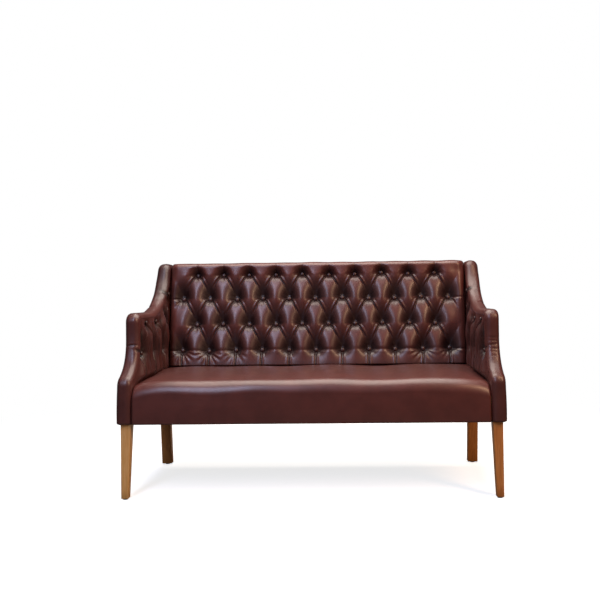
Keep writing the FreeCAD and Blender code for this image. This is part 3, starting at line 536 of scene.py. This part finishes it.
places = np.array(backButtons)
driftX, driftU = backDrift(places[:, 0], places[:, 1])
bowlFloor = backLook["crown"] - backLook["well"] * (1 - backLook["floor"])
centres = onBack(places[:, 0] - driftX, places[:, 1] - driftU, bowlFloor + buttonLook["stand"])
rakeSine, rakeCosine = math.sin(sofa["rake"]), math.cos(sofa["rake"])
backAxes = np.array([[1, 0, 0], [0, rakeSine, rakeCosine], [0, -rakeCosine, rakeSine]])
buttonCopies("backButtons", centres, backAxes, "back_buttons", backLook["buttonDark"])
print("buttons made")

# Roll along the top of the back
topRollLook = {"half": 693, "low": 626, "front": 60, "rearRound": 12, "columns": 140}


def topRoll():
    # A rectangle carried along X under the top line, its rear top corner well rounded
    look = topRollLook
    angle = np.linspace(0, math.pi / 2, 8)
    rear, front = look["rearRound"], look["front"]
    n = np.concatenate([[front, rear * 0.15, 0], rear - rear * np.cos(angle), [20, 40, front]])
    x = easedSpan(-look["half"], look["half"], look["columns"], 14, 8)[:, None]
    top = topLine(x) - 0.3
    low = np.full_like(top, look["low"])
    corner = top - rear + rear * np.sin(angle)[None, :]
    u = beside(low, low, low + 1, corner, top, top, top)
    piece = ringPiece("topRoll", onBack(x, np.maximum(u, look["low"]), n[None, :]), leather)
    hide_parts("back_top_roll")


topRoll()
print("top roll made")

# Tight seat
seatLook = {
    "half": 692.5,
    "top": 461,  # where the crown starts and ends
    "crown": 11, "roll": 54, "back": 217,
    "rearTop": 430,  # top of the hidden rear face
    "base": 393.5, "inner": -322.5,
    "bulge": 2.5,  # of the front border
    "sideDrop": 26,
    "dropShares": (0.35, 0.65),  # of it over the whole width and beside the arms
    "rearLift": (0.8, 2),  # makes the drop good at the back: share of it, and mm more
    "corner": 9, "hem": 6, "frontWave": (0.8, 260, 31),
    "dark": (0.15, 0.22),  # painted shade on the top, and so much more towards the back
    "columns": 240,
    "rows": (30, 26, 60),  # up the front, round the roll and over the top
}


def seatPiece():
    # A section from the front hem over the roll and crown to the back, carried along X; it drops near the arms
    look = seatLook
    frontRows, rollRows, topRows = look["rows"]
    x = easedSpan(-look["half"], look["half"], look["columns"], 60, 28)[:, None]
    toSide = look["half"] - np.abs(x)
    wholeShare, sideShare = look["dropShares"]
    besideArm = 1 - turnedOver(toSide, 120)
    fall = look["sideDrop"] * (wholeShare * (np.abs(x) / look["half"]) ** 6 + sideShare * besideArm)
    top = look["top"] - fall + waviness(x, 0, (2.4, 380, 33))
    bend = look["roll"] * (1 + waviness(x, 0, (0.08, 340, 35)))
    low, bulge = sofa["hem"], look["bulge"]
    face = sofa["front"] + look["corner"] * (1 - turnedOver(toSide, look["corner"]))
    share = np.linspace(0, 1, frontRows)[None, :] ** 1.3
    frontZ = low + (top - bend - low) * share
    hem = look["hem"] * (1 - turnedOver(frontZ - low, look["hem"]))
    frontY = face + hem + bulge - bulge * np.sin(math.pi * share ** 0.8) + waviness(x, frontZ, look["frontWave"])
    angle = np.linspace(0, math.pi / 2, rollRows)[None, 1:]
    ease = np.cos(angle)
    rollY = face + bulge + bend * (1 - ease) + ease * waviness(x, top - bend, look["frontWave"])
    rollZ = top - bend + bend * np.sin(angle)
    along = np.linspace(0, 1, topRows)[None, 1:]
    rollEnd = face + bulge + bend
    topY = rollEnd + (look["back"] - rollEnd) * along
    topZ = top + look["crown"] * (1 - np.abs(1 - 2 * along) ** 2.2)
    topZ = topZ + waviness(x, topY, (1.2, 280, 32)) * smooth(along * 6)
    liftShare, liftMore = look["rearLift"]
    topZ = topZ + (liftShare * fall + liftMore) * onset(along, 0.35, 0.5)
    # the hidden side
    one = np.ones_like(x)
    hiddenY = [one * spot for spot in (look["back"], look["back"], 0, look["inner"], look["inner"])]
    hiddenY = beside(*hiddenY, face + 15, face + look["hem"] + 3)
    hiddenZ = [one * spot for spot in (look["base"], look["base"], look["base"], low + 5, low, low)]
    hiddenZ = beside(np.minimum(look["rearTop"], top - 6), *hiddenZ)
    y = beside(frontY, rollY, topY, hiddenY)
    z = beside(frontZ, rollZ, topZ, hiddenZ)
    rings = np.stack(np.broadcast_arrays(x, y, z), axis=-1)
    # painted shade on the top, deeper towards the back
    topDark = look["dark"][0] + look["dark"][1] * onset(topY - rollEnd, -60, 330)
    plain = [np.zeros(part.shape) for part in (frontY, rollY, hiddenY)]
    shade = beside(plain[0], plain[1], topDark, plain[2])
    piece = ringPiece("seat", rings, leather, shade)
    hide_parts("seat_cover", "seat_foam")


seatPiece()
print("seat made")

# Arms
armLook = {
    "setback": 105, "scoopHeight": 610, "scoopRadius": 150, "toeRadius": 40,
    "noseRadius": 36, "armHeight": 720, "sweepRadius": 325, "wingNoseRadius": 34,
    "wingFlat": 66, "step": 4,
}


def armPath():
    # The edge of an arm seen from the side, from the hem up the front, over the arm and up to the wing:
    # lines and tangent arcs, with the outward normal at every point
    look = armLook
    front, top, wing = sofa["front"], look["armHeight"], sofa["wingHeight"]
    armFront = front + look["setback"]
    toe, scoop, nose = look["toeRadius"], look["scoopRadius"], look["noseRadius"]
    sweep, wingNose = look["sweepRadius"], look["wingNoseRadius"]
    toeY, scoopY = front + toe, armFront - scoop
    toeZ = look["scoopHeight"] - math.sqrt((toe + scoop) ** 2 - (toeY - scoopY) ** 2)
    toeTurn = math.atan2(look["scoopHeight"] - toeZ, scoopY - toeY)
    wingY = sofa["back"] - look["wingFlat"]
    wingZ = wing - wingNose
    sweepZ = top + sweep
    sweepY = wingY - math.sqrt((sweep + wingNose) ** 2 - (sweepZ - wingZ) ** 2)
    sweepTurn = math.atan2(wingZ - sweepZ, wingY - sweepY)
    # a line has two ends; an arc has a centre, a radius, two angles and the side its normal points to
    runs = [
        ((front, sofa["hem"]), (front, toeZ)),
        ((toeY, toeZ), toe, math.pi, toeTurn, 1),
        ((scoopY, look["scoopHeight"]), scoop, toeTurn - math.pi, 0, -1),
        ((armFront, look["scoopHeight"]), (armFront, top - nose)),
        ((armFront + nose, top - nose), nose, math.pi, math.pi / 2, 1),
        ((armFront + nose, top), (sweepY, top)),
        ((sweepY, sweepZ), sweep, -math.pi / 2, sweepTurn, -1),
        ((wingY, wingZ), wingNose, sweepTurn + math.pi, math.pi / 2, 1),
        ((wingY, wing), (sofa["back"], wing)),
    ]
    places, normals = [], []
    for run in runs:
        if len(run) == 2:
            start, end = np.array(run[0]), np.array(run[1])
            length = np.linalg.norm(end - start)
            count = max(int(length / look["step"]), 2)
            share = np.linspace(0, 1, count, endpoint=False)[:, None]
            along = (end - start) / length
            places.append(start + (end - start) * share)
            normals.append(np.broadcast_to([-along[1], along[0]], places[-1].shape))
        else:
            centre, radius, start, end, sign = run
            count = max(int(abs(end - start) * radius / look["step"]), 6)
            angle = np.linspace(start, end, count, endpoint=False)
            ray = np.stack([np.cos(angle), np.sin(angle)], axis=-1)
            places.append(np.array(centre) + radius * ray)
            normals.append(ray * sign)
    places.append(np.array([[sofa["back"], wing]]))
    normals.append(np.array([[0, 1]]))
    places, normals = np.concatenate(places), np.concatenate(normals)
    steps = np.linalg.norm(np.diff(places, axis=0), axis=1)
    return places, normals, np.concatenate([[0], np.cumsum(steps)])


edgePlaces, edgeNormals, edgeLength = armPath()
edgeEnds = np.minimum(edgeLength, edgeLength[-1] - edgeLength)[:, None]

# The padded edge
edgeLook = {
    "outer": sofa["halfWidth"],
    "inner": 693,
    "hidden": 18,  # the section starts and ends this far behind the edge
    "outerRound": (17, 15),  # across the edge and into it
    "innerRound": (25, 21),
    "puff": (1.5, 27),  # height and half width
    "hem": 8,
    "rearClear": 5.5,  # mm kept before the outside back
    "flare": (3.5, 480, -150),  # it spreads towards the hem and the wing: mm, from and over
    "wingFlare": (6, 740, 160),
    "wingCorner": (9, 0.6),  # rounded off: mm, and share of the width
    # darker all over the padded edge
    "dark": 0.27,
    "creaseDark": (1.2, 4, 0.6),  # painted shade in a crease: mm deep where it begins, mm to the full dark, the most
}
# a crease: where, height, width, depth, middle and reach across the edge (0 outer side, 1 inner side)
armSides = {
    # wingDark is a painted shade on the wing, heavier on the left
    "left": {
        "sign": -1, "wander": (0.6, 90, 41), "wingPuff": 8, "wingDark": 0.3,
        "creases": [
            ("front", 592, 3.2, 3, 0.5, 0.6), ("front", 574, 6, 5, 1, 0.25),
            ("wing", 813, 6.5, 8, 1.1, 0.4), ("wing", 780, 10, 1.2, 0.6, 0.5),
            ("wing", 748, 5, 3.2, 0.1, 0.3),
        ],
    },
    "right": {
        "sign": 1, "wander": (0.6, 90, 42), "wingPuff": 5, "wingDark": 0.12,
        "creases": [
            ("front", 610, 3, 2.2, 0.5, 0.26), ("front", 598, 3, 2, 0.5, 0.24),
            ("front", 582, 3, 2.4, 0.55, 0.3), ("front", 566, 3, 2.2, 0.42, 0.26),
            ("front", 554, 2.8, 2, 0.42, 0.26), ("front", 540, 2.8, 1.8, 0.45, 0.24),
            ("front", 574, 6, 3.5, 1, 0.22), ("wing", 815, 6.5, 7.5, 1.1, 0.4),
            ("wing", 750, 5, 2.8, 0.1, 0.3),
        ],
    },
}


def flareAt(z):
    # How far the outside of an arm stands out beyond its plain width: at the hem and at the wing
    return sum(look[0] * onset(z, look[1], look[2]) for look in (edgeLook["flare"], edgeLook["wingFlare"]))


def edgeSection():
    # Half an oval with a flat top, from the outer side to the inner one: X, and depth in from the edge
    look = edgeLook
    outerX, outerIn = look["outerRound"]
    innerX, innerIn = look["innerRound"]
    outerRows, flatRows, innerRows = 9, 7, 14
    outerTurn, innerTurn = np.linspace(0, math.pi / 2, outerRows), np.linspace(0, math.pi / 2, innerRows)
    flat = np.linspace(look["outer"] - outerX, look["inner"] + innerX, flatRows)[1:-1]
    across = np.concatenate([[look["outer"] - 1.5], look["outer"] - outerX + outerX * np.cos(outerTurn),
                             flat, look["inner"] + innerX - innerX * np.sin(innerTurn)])
    into = np.concatenate([[look["hidden"]], outerIn - outerIn * np.sin(outerTurn),
                           0 * flat, innerIn - innerIn * np.cos(innerTurn)])
    middle = (look["outer"] + look["inner"]) / 2
    puff, puffHalf = look["puff"]
    return across[None, :], (into - puff * np.clip(1 - ((across - middle) / puffHalf) ** 2, 0, 1))[None, :]


def edgeCrease(creases, inward):
    # Grooves across the edge, a little slanted and wavy, with a low rim on either side
    total = np.zeros((len(edgePlaces), inward.shape[1]))
    for where, height, width, deep, middle, reach in creases:
        here = edgePlaces[:, :1] < -150 if where == "front" else edgePlaces[:, :1] > 0
        off = edgePlaces[:, 1:2] - height + 1.5 * np.sin(5 * inward + height)
        groove = bell(off, width) - 0.12 * bell(np.abs(off) - 2 * width, width)
        total += here * deep * bell(inward - middle, reach) * groove
    return total


# The buttoned inside of an arm
armPadLook = {
    "base": 705, "face": 673, "well": 29, "floor": 0.16, "seatLine": 428, "rear": 222,
    "lines": 104,
    "pleat": (8, 7),  # depth and width
    "puff": (11, 66),  # upright puffs: depth of the grooves between them and their spacing
    "dark": (0.45, 0.5, 0.3, 0.1),  # painted shade of the bowls, pleats and grooves, and a darkening all over
    # painted shade: the most it reaches, and on the arm buttons
    "darkest": 0.6, "buttonDark": 0.6,
    "clear": (2, 10.6),  # mm kept before the hidden side, and more of them beside the back post
}
armLattice = {
    "pitch": 138, "rise": 122, "firstAcross": -192.5, "lowRow": 556,
    "columns": (0, 3), "rows": (-2, 0), "sideFade": 70, "lowFade": 90, "topBowl": 64,
}
armButtons = [(-192.5, 556), (-54.5, 556), (83.5, 556),
              (-123.5, 678), (14.5, 678), (152.5, 678), (221.5, 800)]
# pleats that run from a button to the edge of the arm: (y, z) of both ends
armPleats = [
    ((-192.5, 556), (-228, 606)),
    ((-123.5, 678), (-150, 712)),
    ((14.5, 678), (0, 715)),
    ((152.5, 678), (118, 768)),
    ((221.5, 800), (172, 815)),
]


def pleatDepth(y, z, ends, width):
    # Depth share of a straight groove between two points, half as deep at the second one
    (startY, startZ), (endY, endZ) = ends
    run = (endY - startY) ** 2 + (endZ - startZ) ** 2
    share = np.clip(((y - startY) * (endY - startY) + (z - startZ) * (endZ - startZ)) / run, 0, 1)
    away = np.hypot(y - startY - share * (endY - startY), z - startZ - share * (endZ - startZ))
    return bell(away, width) * (1 - 0.5 * share)


def insideArm(start):
    # Straight lines from the padded edge to the seat line; the pad swells inward and sinks at bowls and pleats
    look = armPadLook
    inner = edgeLook["inner"]
    low = np.searchsorted(edgePlaces[:, 1], look["seatLine"])
    run = np.clip((edgeLength - edgeLength[low]) / (edgeLength[-1] - edgeLength[low]), 0, 1)
    footY = start[low, 0] + (look["rear"] - start[low, 0]) * run
    foot = np.stack([footY, np.minimum(start[:, 1], look["seatLine"])], axis=-1)
    share = np.linspace(0, 1, look["lines"] + 1)[None, 1:, None] ** 1.15
    inside = start[:, None, :] + (foot - start)[:, None, :] * share
    away = np.linalg.norm(inside - start[:, None, :], axis=-1)
    y, z = inside[..., 0], inside[..., 1]
    high, folds, dark = tufting(y, armLattice["lowRow"] - z, armLattice)
    deep, width = look["pleat"]
    pleats = sum(pleatDepth(y, z, ends, width) for ends in armPleats)
    sunk = look["well"] * (1 - np.maximum(high, look["floor"])) - folds + deep * pleats
    sunk = sunk - buttonWrinkles(y, z, armButtons, 51) - waviness(y, z, (1.2, 170, 52))
    # upright puffs, round between sharp grooves: the rise of a sine without its sign
    deep, spacing = look["puff"]
    groove = 1 - np.abs(np.sin(math.pi * (y + waviness(y, z, (9, 160, 54))) / spacing))
    sunk = sunk + deep * groove * np.clip(0.65 + waviness(y, z, (0.5, 130, 55)), 0, 1)
    beforeBack = (backFace(z) - y) * math.cos(sofa["rake"])
    swell = onset(away, 0, 80) * onset(beforeBack, 80, 60) * onset(z, 440, 36)
    sink = sunk * onset(away, 0, 50) * onset(z, 436, 30)
    x = inner + 0.5 - (inner - look["face"]) * swell + sink
    clear, postClear = look["clear"]
    x = np.minimum(x, look["base"] - clear - postClear * onset(beforeBack, 80, -24))
    # painted shade in the bowls, pleats and grooves, fading in from the edge
    inBowl, inPleat, inGroove, overall = look["dark"]
    dark = np.clip(inBowl * dark + inPleat * pleats + inGroove * groove ** 3 + overall, 0, look["darkest"])
    return inside, x, edgeLook["dark"] + dark * onset(away, 0, 50)


def armPiece(side):
    # Every station carries a ring: round the padded edge, down the inside to the seat line and back behind it
    look, pad, own = edgeLook, armPadLook, armSides[side]
    place, normal, height = edgePlaces[:, None, :], edgeNormals[:, None, :], edgePlaces[:, 1:2]
    width = look["outer"] - look["inner"]
    across, into = edgeSection()
    inward = np.clip((look["outer"] - across) / width, 0, 1)
    crease = edgeCrease(own["creases"], inward)
    wander = waviness(edgeLength[:, None], across, own["wander"]) * (into < 12)
    hem = look["hem"] * (1 - turnedOver(edgeEnds, look["hem"]))
    wing = onset(height, 850, 60)
    edgeIn = into + crease + wander + hem - own["wingPuff"] * wing * bell(into, 14)
    corner, cornerShare = look["wingCorner"]
    edgeIn = edgeIn + corner * np.clip(1 - inward / cornerShare, 0, 1) ** 2 * wing
    edgeYz = place - normal * edgeIn[..., None]
    edgeX = look["inner"] + (across - look["inner"]) * (1 + flareAt(height) / width)
    edgeX = edgeX - 0.6 * hem * (1 - inward)
    start = edgeYz[:, -1, :]
    inside, insideX, insideDark = insideArm(start)
    # the hidden side
    last = inside[:, -1:, :]
    halfWay = start[:, None, :] * 0.5 + last * 0.5
    hiddenYz = beside(last, halfWay, place - normal * look["hidden"])
    hiddenX = np.full(hiddenYz.shape[:2], pad["base"])
    yz = beside(edgeYz, inside, hiddenYz)
    rear = backFace(yz[..., 1]) - look["rearClear"] * onset(yz[..., 1], 932, -18)
    yz[..., 0] = np.minimum(yz[..., 0], np.minimum(rear, sofa["back"]))
    x = own["sign"] * beside(edgeX, insideX, hiddenX)
    rings = np.concatenate([x[..., None], yz], axis=-1)
    # painted shade on the wing and in the creases, over the darkening of the whole edge
    darkFrom, darkOver, darkest = look["creaseDark"]
    edgeDark = look["dark"] + own["wingDark"] * onset(height, 740, 80)
    edgeDark = edgeDark + np.clip((crease - darkFrom) / darkOver, 0, darkest)
    shade = beside(edgeDark, insideDark, np.zeros(hiddenYz.shape[:2]))
    piece = ringPiece(side + "Arm", rings, leather, shade)
    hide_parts(side + "_arm_border", side + "_inside_arm_pad", side + "_arm_foam")
    spots = np.array(armButtons)
    buttonX = own["sign"] * (pad["face"] + pad["well"] * (1 - pad["floor"]) - buttonLook["stand"])
    centres = np.stack([np.full(len(spots), buttonX), spots[:, 0], spots[:, 1]], axis=-1)
    axes = np.array([[0, 1, 0], [0, 0, 1], [-own["sign"], 0, 0]])
    buttonCopies(side + "ArmButtons", centres, axes, side + "_arm_buttons", pad["buttonDark"])


for side in armSides:
    armPiece(side)
print("arms made")

# Outside panels: thin padded leather on the backing
armPanelLook = {
    "inset": 17, "inner": 747, "outer": 750.6,
    "gauge": 1,  # left at the rim
    "edge": 10, "low": 297,
    "lean": 40,  # the last mm before the back, where the rim follows the rake
    "lines": 40,
}
backPanelLook = {
    "half": 749, "low": 1, "high": 631, "edge": 14,
    "inner": 4,  # mm before the outside face: hidden side and rim
    "rim": 3.4, "swell": 4, "columns": 150, "rows": 60, "edgeSteps": 6,
}


def outsideArm(side):
    # Lines fan from the edge of the arm down to the hem; the panel swells from nothing at its rim
    look, sign = armPanelLook, armSides[side]["sign"]
    start = edgePlaces - edgeNormals * look["inset"]
    start[:, 1] = np.maximum(start[:, 1], look["low"])
    run = edgeLength / edgeLength[-1]
    footY = start[0, 0] + (sofa["rearLow"] - start[0, 0]) * run
    foot = np.stack([footY, np.full(len(run), look["low"])], axis=-1)
    lean = np.clip((start[:, 0] - (sofa["back"] - look["lean"])) / look["lean"], 0, 1)
    start[:, 0] -= lean * look["inset"] * math.tan(sofa["rake"])
    share = (1 - np.cos(np.linspace(0, math.pi, look["lines"]))) / 2
    inside = start[:, None, :] + (foot - start)[:, None, :] * share[None, :, None]
    fromStart = np.linalg.norm(inside - start[:, None, :], axis=-1)
    fromFoot = np.linalg.norm(inside - foot[:, None, :], axis=-1)
    swell = turnedOver(np.minimum(np.minimum(fromStart, fromFoot), edgeEnds), look["edge"])
    y, z = inside[..., 0], inside[..., 1]
    x = look["inner"] + (look["outer"] - look["inner"]) * swell * (1 + waviness(y, z, (0.15, 300, 61)))
    x = x + 0.8 * flareAt(z) * swell
    front = np.concatenate([sign * x[..., None], inside], axis=-1)
    rearX = np.full(x.shape + (1,), sign * (look["inner"] - look["gauge"]))
    rear = np.concatenate([rearX, inside], axis=-1)[:, ::-1][:, ::6]
    piece = ringPiece(side + "OutsideArm", beside(front, rear), leather)
    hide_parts(side + "_outside_arm_cover")


def outsideBack():
    # A rectangle on the rake that swells from a thin rim
    look = backPanelLook
    half, low, high, edge = look["half"], look["low"], look["high"], look["edge"]
    x = easedSpan(-half, half, look["columns"], edge, look["edgeSteps"])[:, None]
    u = easedSpan(low, high, look["rows"], edge, look["edgeSteps"])[None, :]
    x, u = np.broadcast_arrays(x, u)
    swell = turnedOver(half - np.abs(x), edge) * turnedOver(high - u, edge) * turnedOver(u - low, edge)
    face = onBack(x, u, look["rim"] - look["swell"] * swell * (1 + waviness(x, u, (0.15, 340, 71))))
    inner = onBack(x[:, :1], np.linspace(high, low, 6)[None, :], look["inner"])
    piece = ringPiece("outsideBack", beside(face, inner), leather)
    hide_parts("outside_back_cover")


for side in armSides:
    outsideArm(side)
outsideBack()
print("outside panels made")

# Legs
legLook = {
    "round": 3, "turns": 6,
    "footEase": (1.6, 0.6),  # the two lowest sections are drawn in
}
frontLegLook = {
    "outer": 739, "front": -322.5, "size": 40, "foot": 28,
    "levels": [4, 4.6, 6, 40, 100, 170, 240, 295, 297, 390],
}
rearLegLook = {
    "middleX": 716, "width": 46, "footFront": 241.16, "footDepth": 32,
    "postFront": 40,  # faces of the post, square in from the outside of the back
    "postBack": 4, "postTop": 922, "trim": 9,
    "levels": [4, 4.6, 6, 60, 130, 200, 270, 292, 296, 300, 500, 885, 921],
}


def legPiece(name, node, wood, middleX, middleY, z, halfX, halfY):
    # Rectangles with quarter circles for corners, stacked up the leg and drawn in at the foot
    radius, turns = legLook["round"], legLook["turns"]
    drawnIn = np.zeros((len(z), 1))
    drawnIn[:2, 0] = legLook["footEase"]
    quarter = np.repeat(np.arange(4), turns)
    turn = np.tile(np.linspace(0, math.pi / 2, turns), 4) + quarter * math.pi / 2
    cornerX, cornerY = np.array([1, -1, -1, 1])[quarter], np.array([1, 1, -1, -1])[quarter]
    x = middleX[:, None] + cornerX * (halfX[:, None] - drawnIn - radius) + radius * np.cos(turn)
    y = middleY[:, None] + cornerY * (halfY[:, None] - drawnIn - radius) + radius * np.sin(turn)
    piece = ringPiece(name, np.stack(np.broadcast_arrays(x, y, z[:, None]), axis=-1), wood)
    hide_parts(node)


def frontLeg(side, wood):
    # A square leg that grows in a straight line from the foot to the seat
    look, sign = frontLegLook, armSides[side]["sign"]
    z = np.array(look["levels"])
    half = np.interp(z, [z[0], sofa["legHeight"]], [look["foot"] / 2, look["size"] / 2])
    legPiece("front" + side.title() + "Leg", f"front_{side}_leg", wood,
             sign * (look["outer"] - half), look["front"] + half, z, half, half)


def rearLeg(side, wood):
    # A dog-leg post: both faces run straight from the foot to the knee and from there up the rake;
    # its top is trimmed to lie inside the wing
    look, sign = rearLegLook, armSides[side]["sign"]
    z = np.array(look["levels"])
    bends = [z[0], sofa["legHeight"], look["postTop"]]
    rakeRun = backFace(look["postTop"]) - sofa["rearLow"]
    kneeFront, kneeBack = (sofa["rearLow"] - look[face] / rakeCosine for face in ("postFront", "postBack"))
    footBack = look["footFront"] + look["footDepth"]
    trim = np.zeros(len(z))
    trim[-1] = look["trim"]
    frontY = np.interp(z, bends, [look["footFront"], kneeFront, kneeFront + rakeRun])
    backY = np.interp(z, bends, [footBack, kneeBack, kneeBack + rakeRun]) - trim / 2
    legPiece("rear" + side.title() + "Leg", f"rear_{side}_leg", wood, sign * (look["middleX"] + trim),
             (frontY + backY) / 2, z, look["width"] / 2 - trim, (backY - frontY) / 2)


for side in armSides:
    # the front left leg takes the lighter beech as painted light
    frontLeg(side, paintedLitBeech if side == "left" else redBeech)
    rearLeg(side, redBeech)
print("legs made")

# What is left of the CAD model: the hidden frame, glides, webbing and cloths
carried = {
    "frame_wood": frameWood, "backing_board": backingBoard, "webbing": webbingCloth,
    "hessian": hessianCloth, "dust_cloth": dustCloth, "glide": glidePlastic,
}
slotOf = {entry["node"]: entry["material_slot"] for entry in frame["record"]["subparts"]}
for node, item in frame["nodes"].items():
    if slotOf[node] in carried:
        item.data.materials.clear()
        item.data.materials.append(carried[slotOf[node]])
print("frame nodes dressed")

# Camera at the photograph's place
cameraLook = {
    "place": (0.1755, -2.9424, 0.7741), "yaw": 0.0251, "pitch": -0.0165, "roll": -0.0123,
    "sensor": 36, "lens": 40.706, "shift": (-0.0622, -0.0225),
}


def setCamera(look):
    # Yaw turns the camera about Z, pitch tips it and roll turns it about its own axis
    yaw, pitch, roll = look["yaw"], look["pitch"], look["roll"]
    aside = Vector((math.cos(yaw), math.sin(yaw), 0))
    ahead = Vector((-math.sin(yaw), math.cos(yaw), 0))
    forward = math.cos(pitch) * ahead - math.sin(pitch) * Vector((0, 0, 1))
    level = math.sin(pitch) * ahead + math.cos(pitch) * Vector((0, 0, 1))
    right = math.cos(roll) * aside + math.sin(roll) * level
    up = -math.sin(roll) * aside + math.cos(roll) * level
    data = bpy.data.cameras.new("camera")
    data.sensor_width = look["sensor"]
    data.lens = look["lens"]
    data.shift_x, data.shift_y = look["shift"]
    camera = addObject("camera", data)
    turn = Matrix((right, up, -forward)).transposed().to_4x4()
    camera.matrix_world = Matrix.Translation(look["place"]) @ turn
    bpy.context.scene.camera = camera


setCamera(cameraLook)

# Pale floor and soft studio light
lampLook = [
    # name, place, aimed at, width, height, watts, colour
    ("topSoftbox", (0, 0, 2.4), (0, -0.1, 0.4), 2.2, 1.8, 66, "#fff4ea"),
    ("leftWindow", (-1, -2.3, 2.4), (-0.1, 0, 0.6), 0.55, 1.8, 37, "#cfdcff"),
    ("rightLamp", (1.9, -1.7, 2.2), (0.2, 0, 0.6), 0.5, 1.6, 36, "#ffcfa6"),
    ("rearFill", (0, 3.4, 0.42), (0, 0.3, 0.6), 1.2, 0.6, 40, "#f6f2ee"),
]
stageLook = {
    "ambient": {"Color": linear("#eef1f6"), "Strength": 0.08},
    "white": {"Color": linear("#ffffff"), "Strength": 1},
    "paper": {"Color": linear("#f4f4f4")},
    "glow": {"Color": linear("#ffffff"), "Strength": 0.72},  # lifts the lit paper to white
    "floor": {"Color": linear("#6e6a66")},
    "pool": (1, 2.6),  # metres out where the paper gives way to plain white
    "half": 30,
}
for name, place, target, width, height, watts, colour in lampLook:
    data = bpy.data.lights.new(name, "AREA")
    data.shape = "RECTANGLE"
    data.size, data.size_y = width, height
    data.energy = watts
    data.color = linear(colour)[:3]
    lamp = addObject(name, data)
    lamp.location = place
    lamp.rotation_euler = (Vector(target) - Vector(place)).to_track_quat("-Z", "Y").to_euler()


def mixShaders(tree, share, first, second):
    # The first shader where the share is 0, the second where it is 1
    return addNode(tree, "ShaderNodeMixShader", None, {0: share, 1: first.outputs[0], 2: second.outputs[0]})


world = bpy.data.worlds.new("studio")
bpy.context.scene.world = world
world.use_nodes = True
tree = world.node_tree
tree.nodes.clear()
path = addNode(tree, "ShaderNodeLightPath")
ambient = addNode(tree, "ShaderNodeBackground", stageLook["ambient"])
white = addNode(tree, "ShaderNodeBackground", stageLook["white"])
seen = mixShaders(tree, path.outputs["Is Camera Ray"], ambient, white)
addNode(tree, "ShaderNodeOutputWorld", None, {"Surface": seen.outputs["Shader"]})

half = stageLook["half"]
floorMesh = bpy.data.meshes.new("floor")
floorMesh.from_pydata([(-half, -half, 0), (half, -half, 0), (half, half, 0), (-half, half, 0)], [], [(0, 1, 2, 3)])
floor = addObject("floor", floorMesh)
# Seen by the camera the floor is white paper with the shadow on it, plain white from a few metres out;
# to the other rays it is a mid-grey floor, so that little light comes up from below
floorPaint, tree, place = newMaterial("white_floor")
path = addNode(tree, "ShaderNodeLightPath")
far = addNode(tree, "ShaderNodeVectorMath", {"operation": "LENGTH"}, {0: place})
poolStart, poolEnd = stageLook["pool"]
pool = addNode(tree, "ShaderNodeMapRange", {1: poolStart, 2: poolEnd, "interpolation_type": "SMOOTHSTEP"},
               {"Value": far.outputs["Value"]})
paper = addNode(tree, "ShaderNodeBsdfDiffuse", stageLook["paper"])
glow = addNode(tree, "ShaderNodeEmission", stageLook["glow"])
lifted = addNode(tree, "ShaderNodeAddShader", None, {0: paper.outputs["BSDF"], 1: glow.outputs["Emission"]})
bare = addNode(tree, "ShaderNodeEmission", stageLook["white"])
near = mixShaders(tree, pool.outputs["Result"], lifted, bare)
duller = addNode(tree, "ShaderNodeBsdfDiffuse", stageLook["floor"])
seen = mixShaders(tree, path.outputs["Is Camera Ray"], duller, near)
addNode(tree, "ShaderNodeOutputMaterial", None, {"Surface": seen.outputs["Shader"]})
floorMesh.materials.append(floorPaint)

bpy.context.scene.view_settings.view_transform = "Standard"
print("stage and light set")
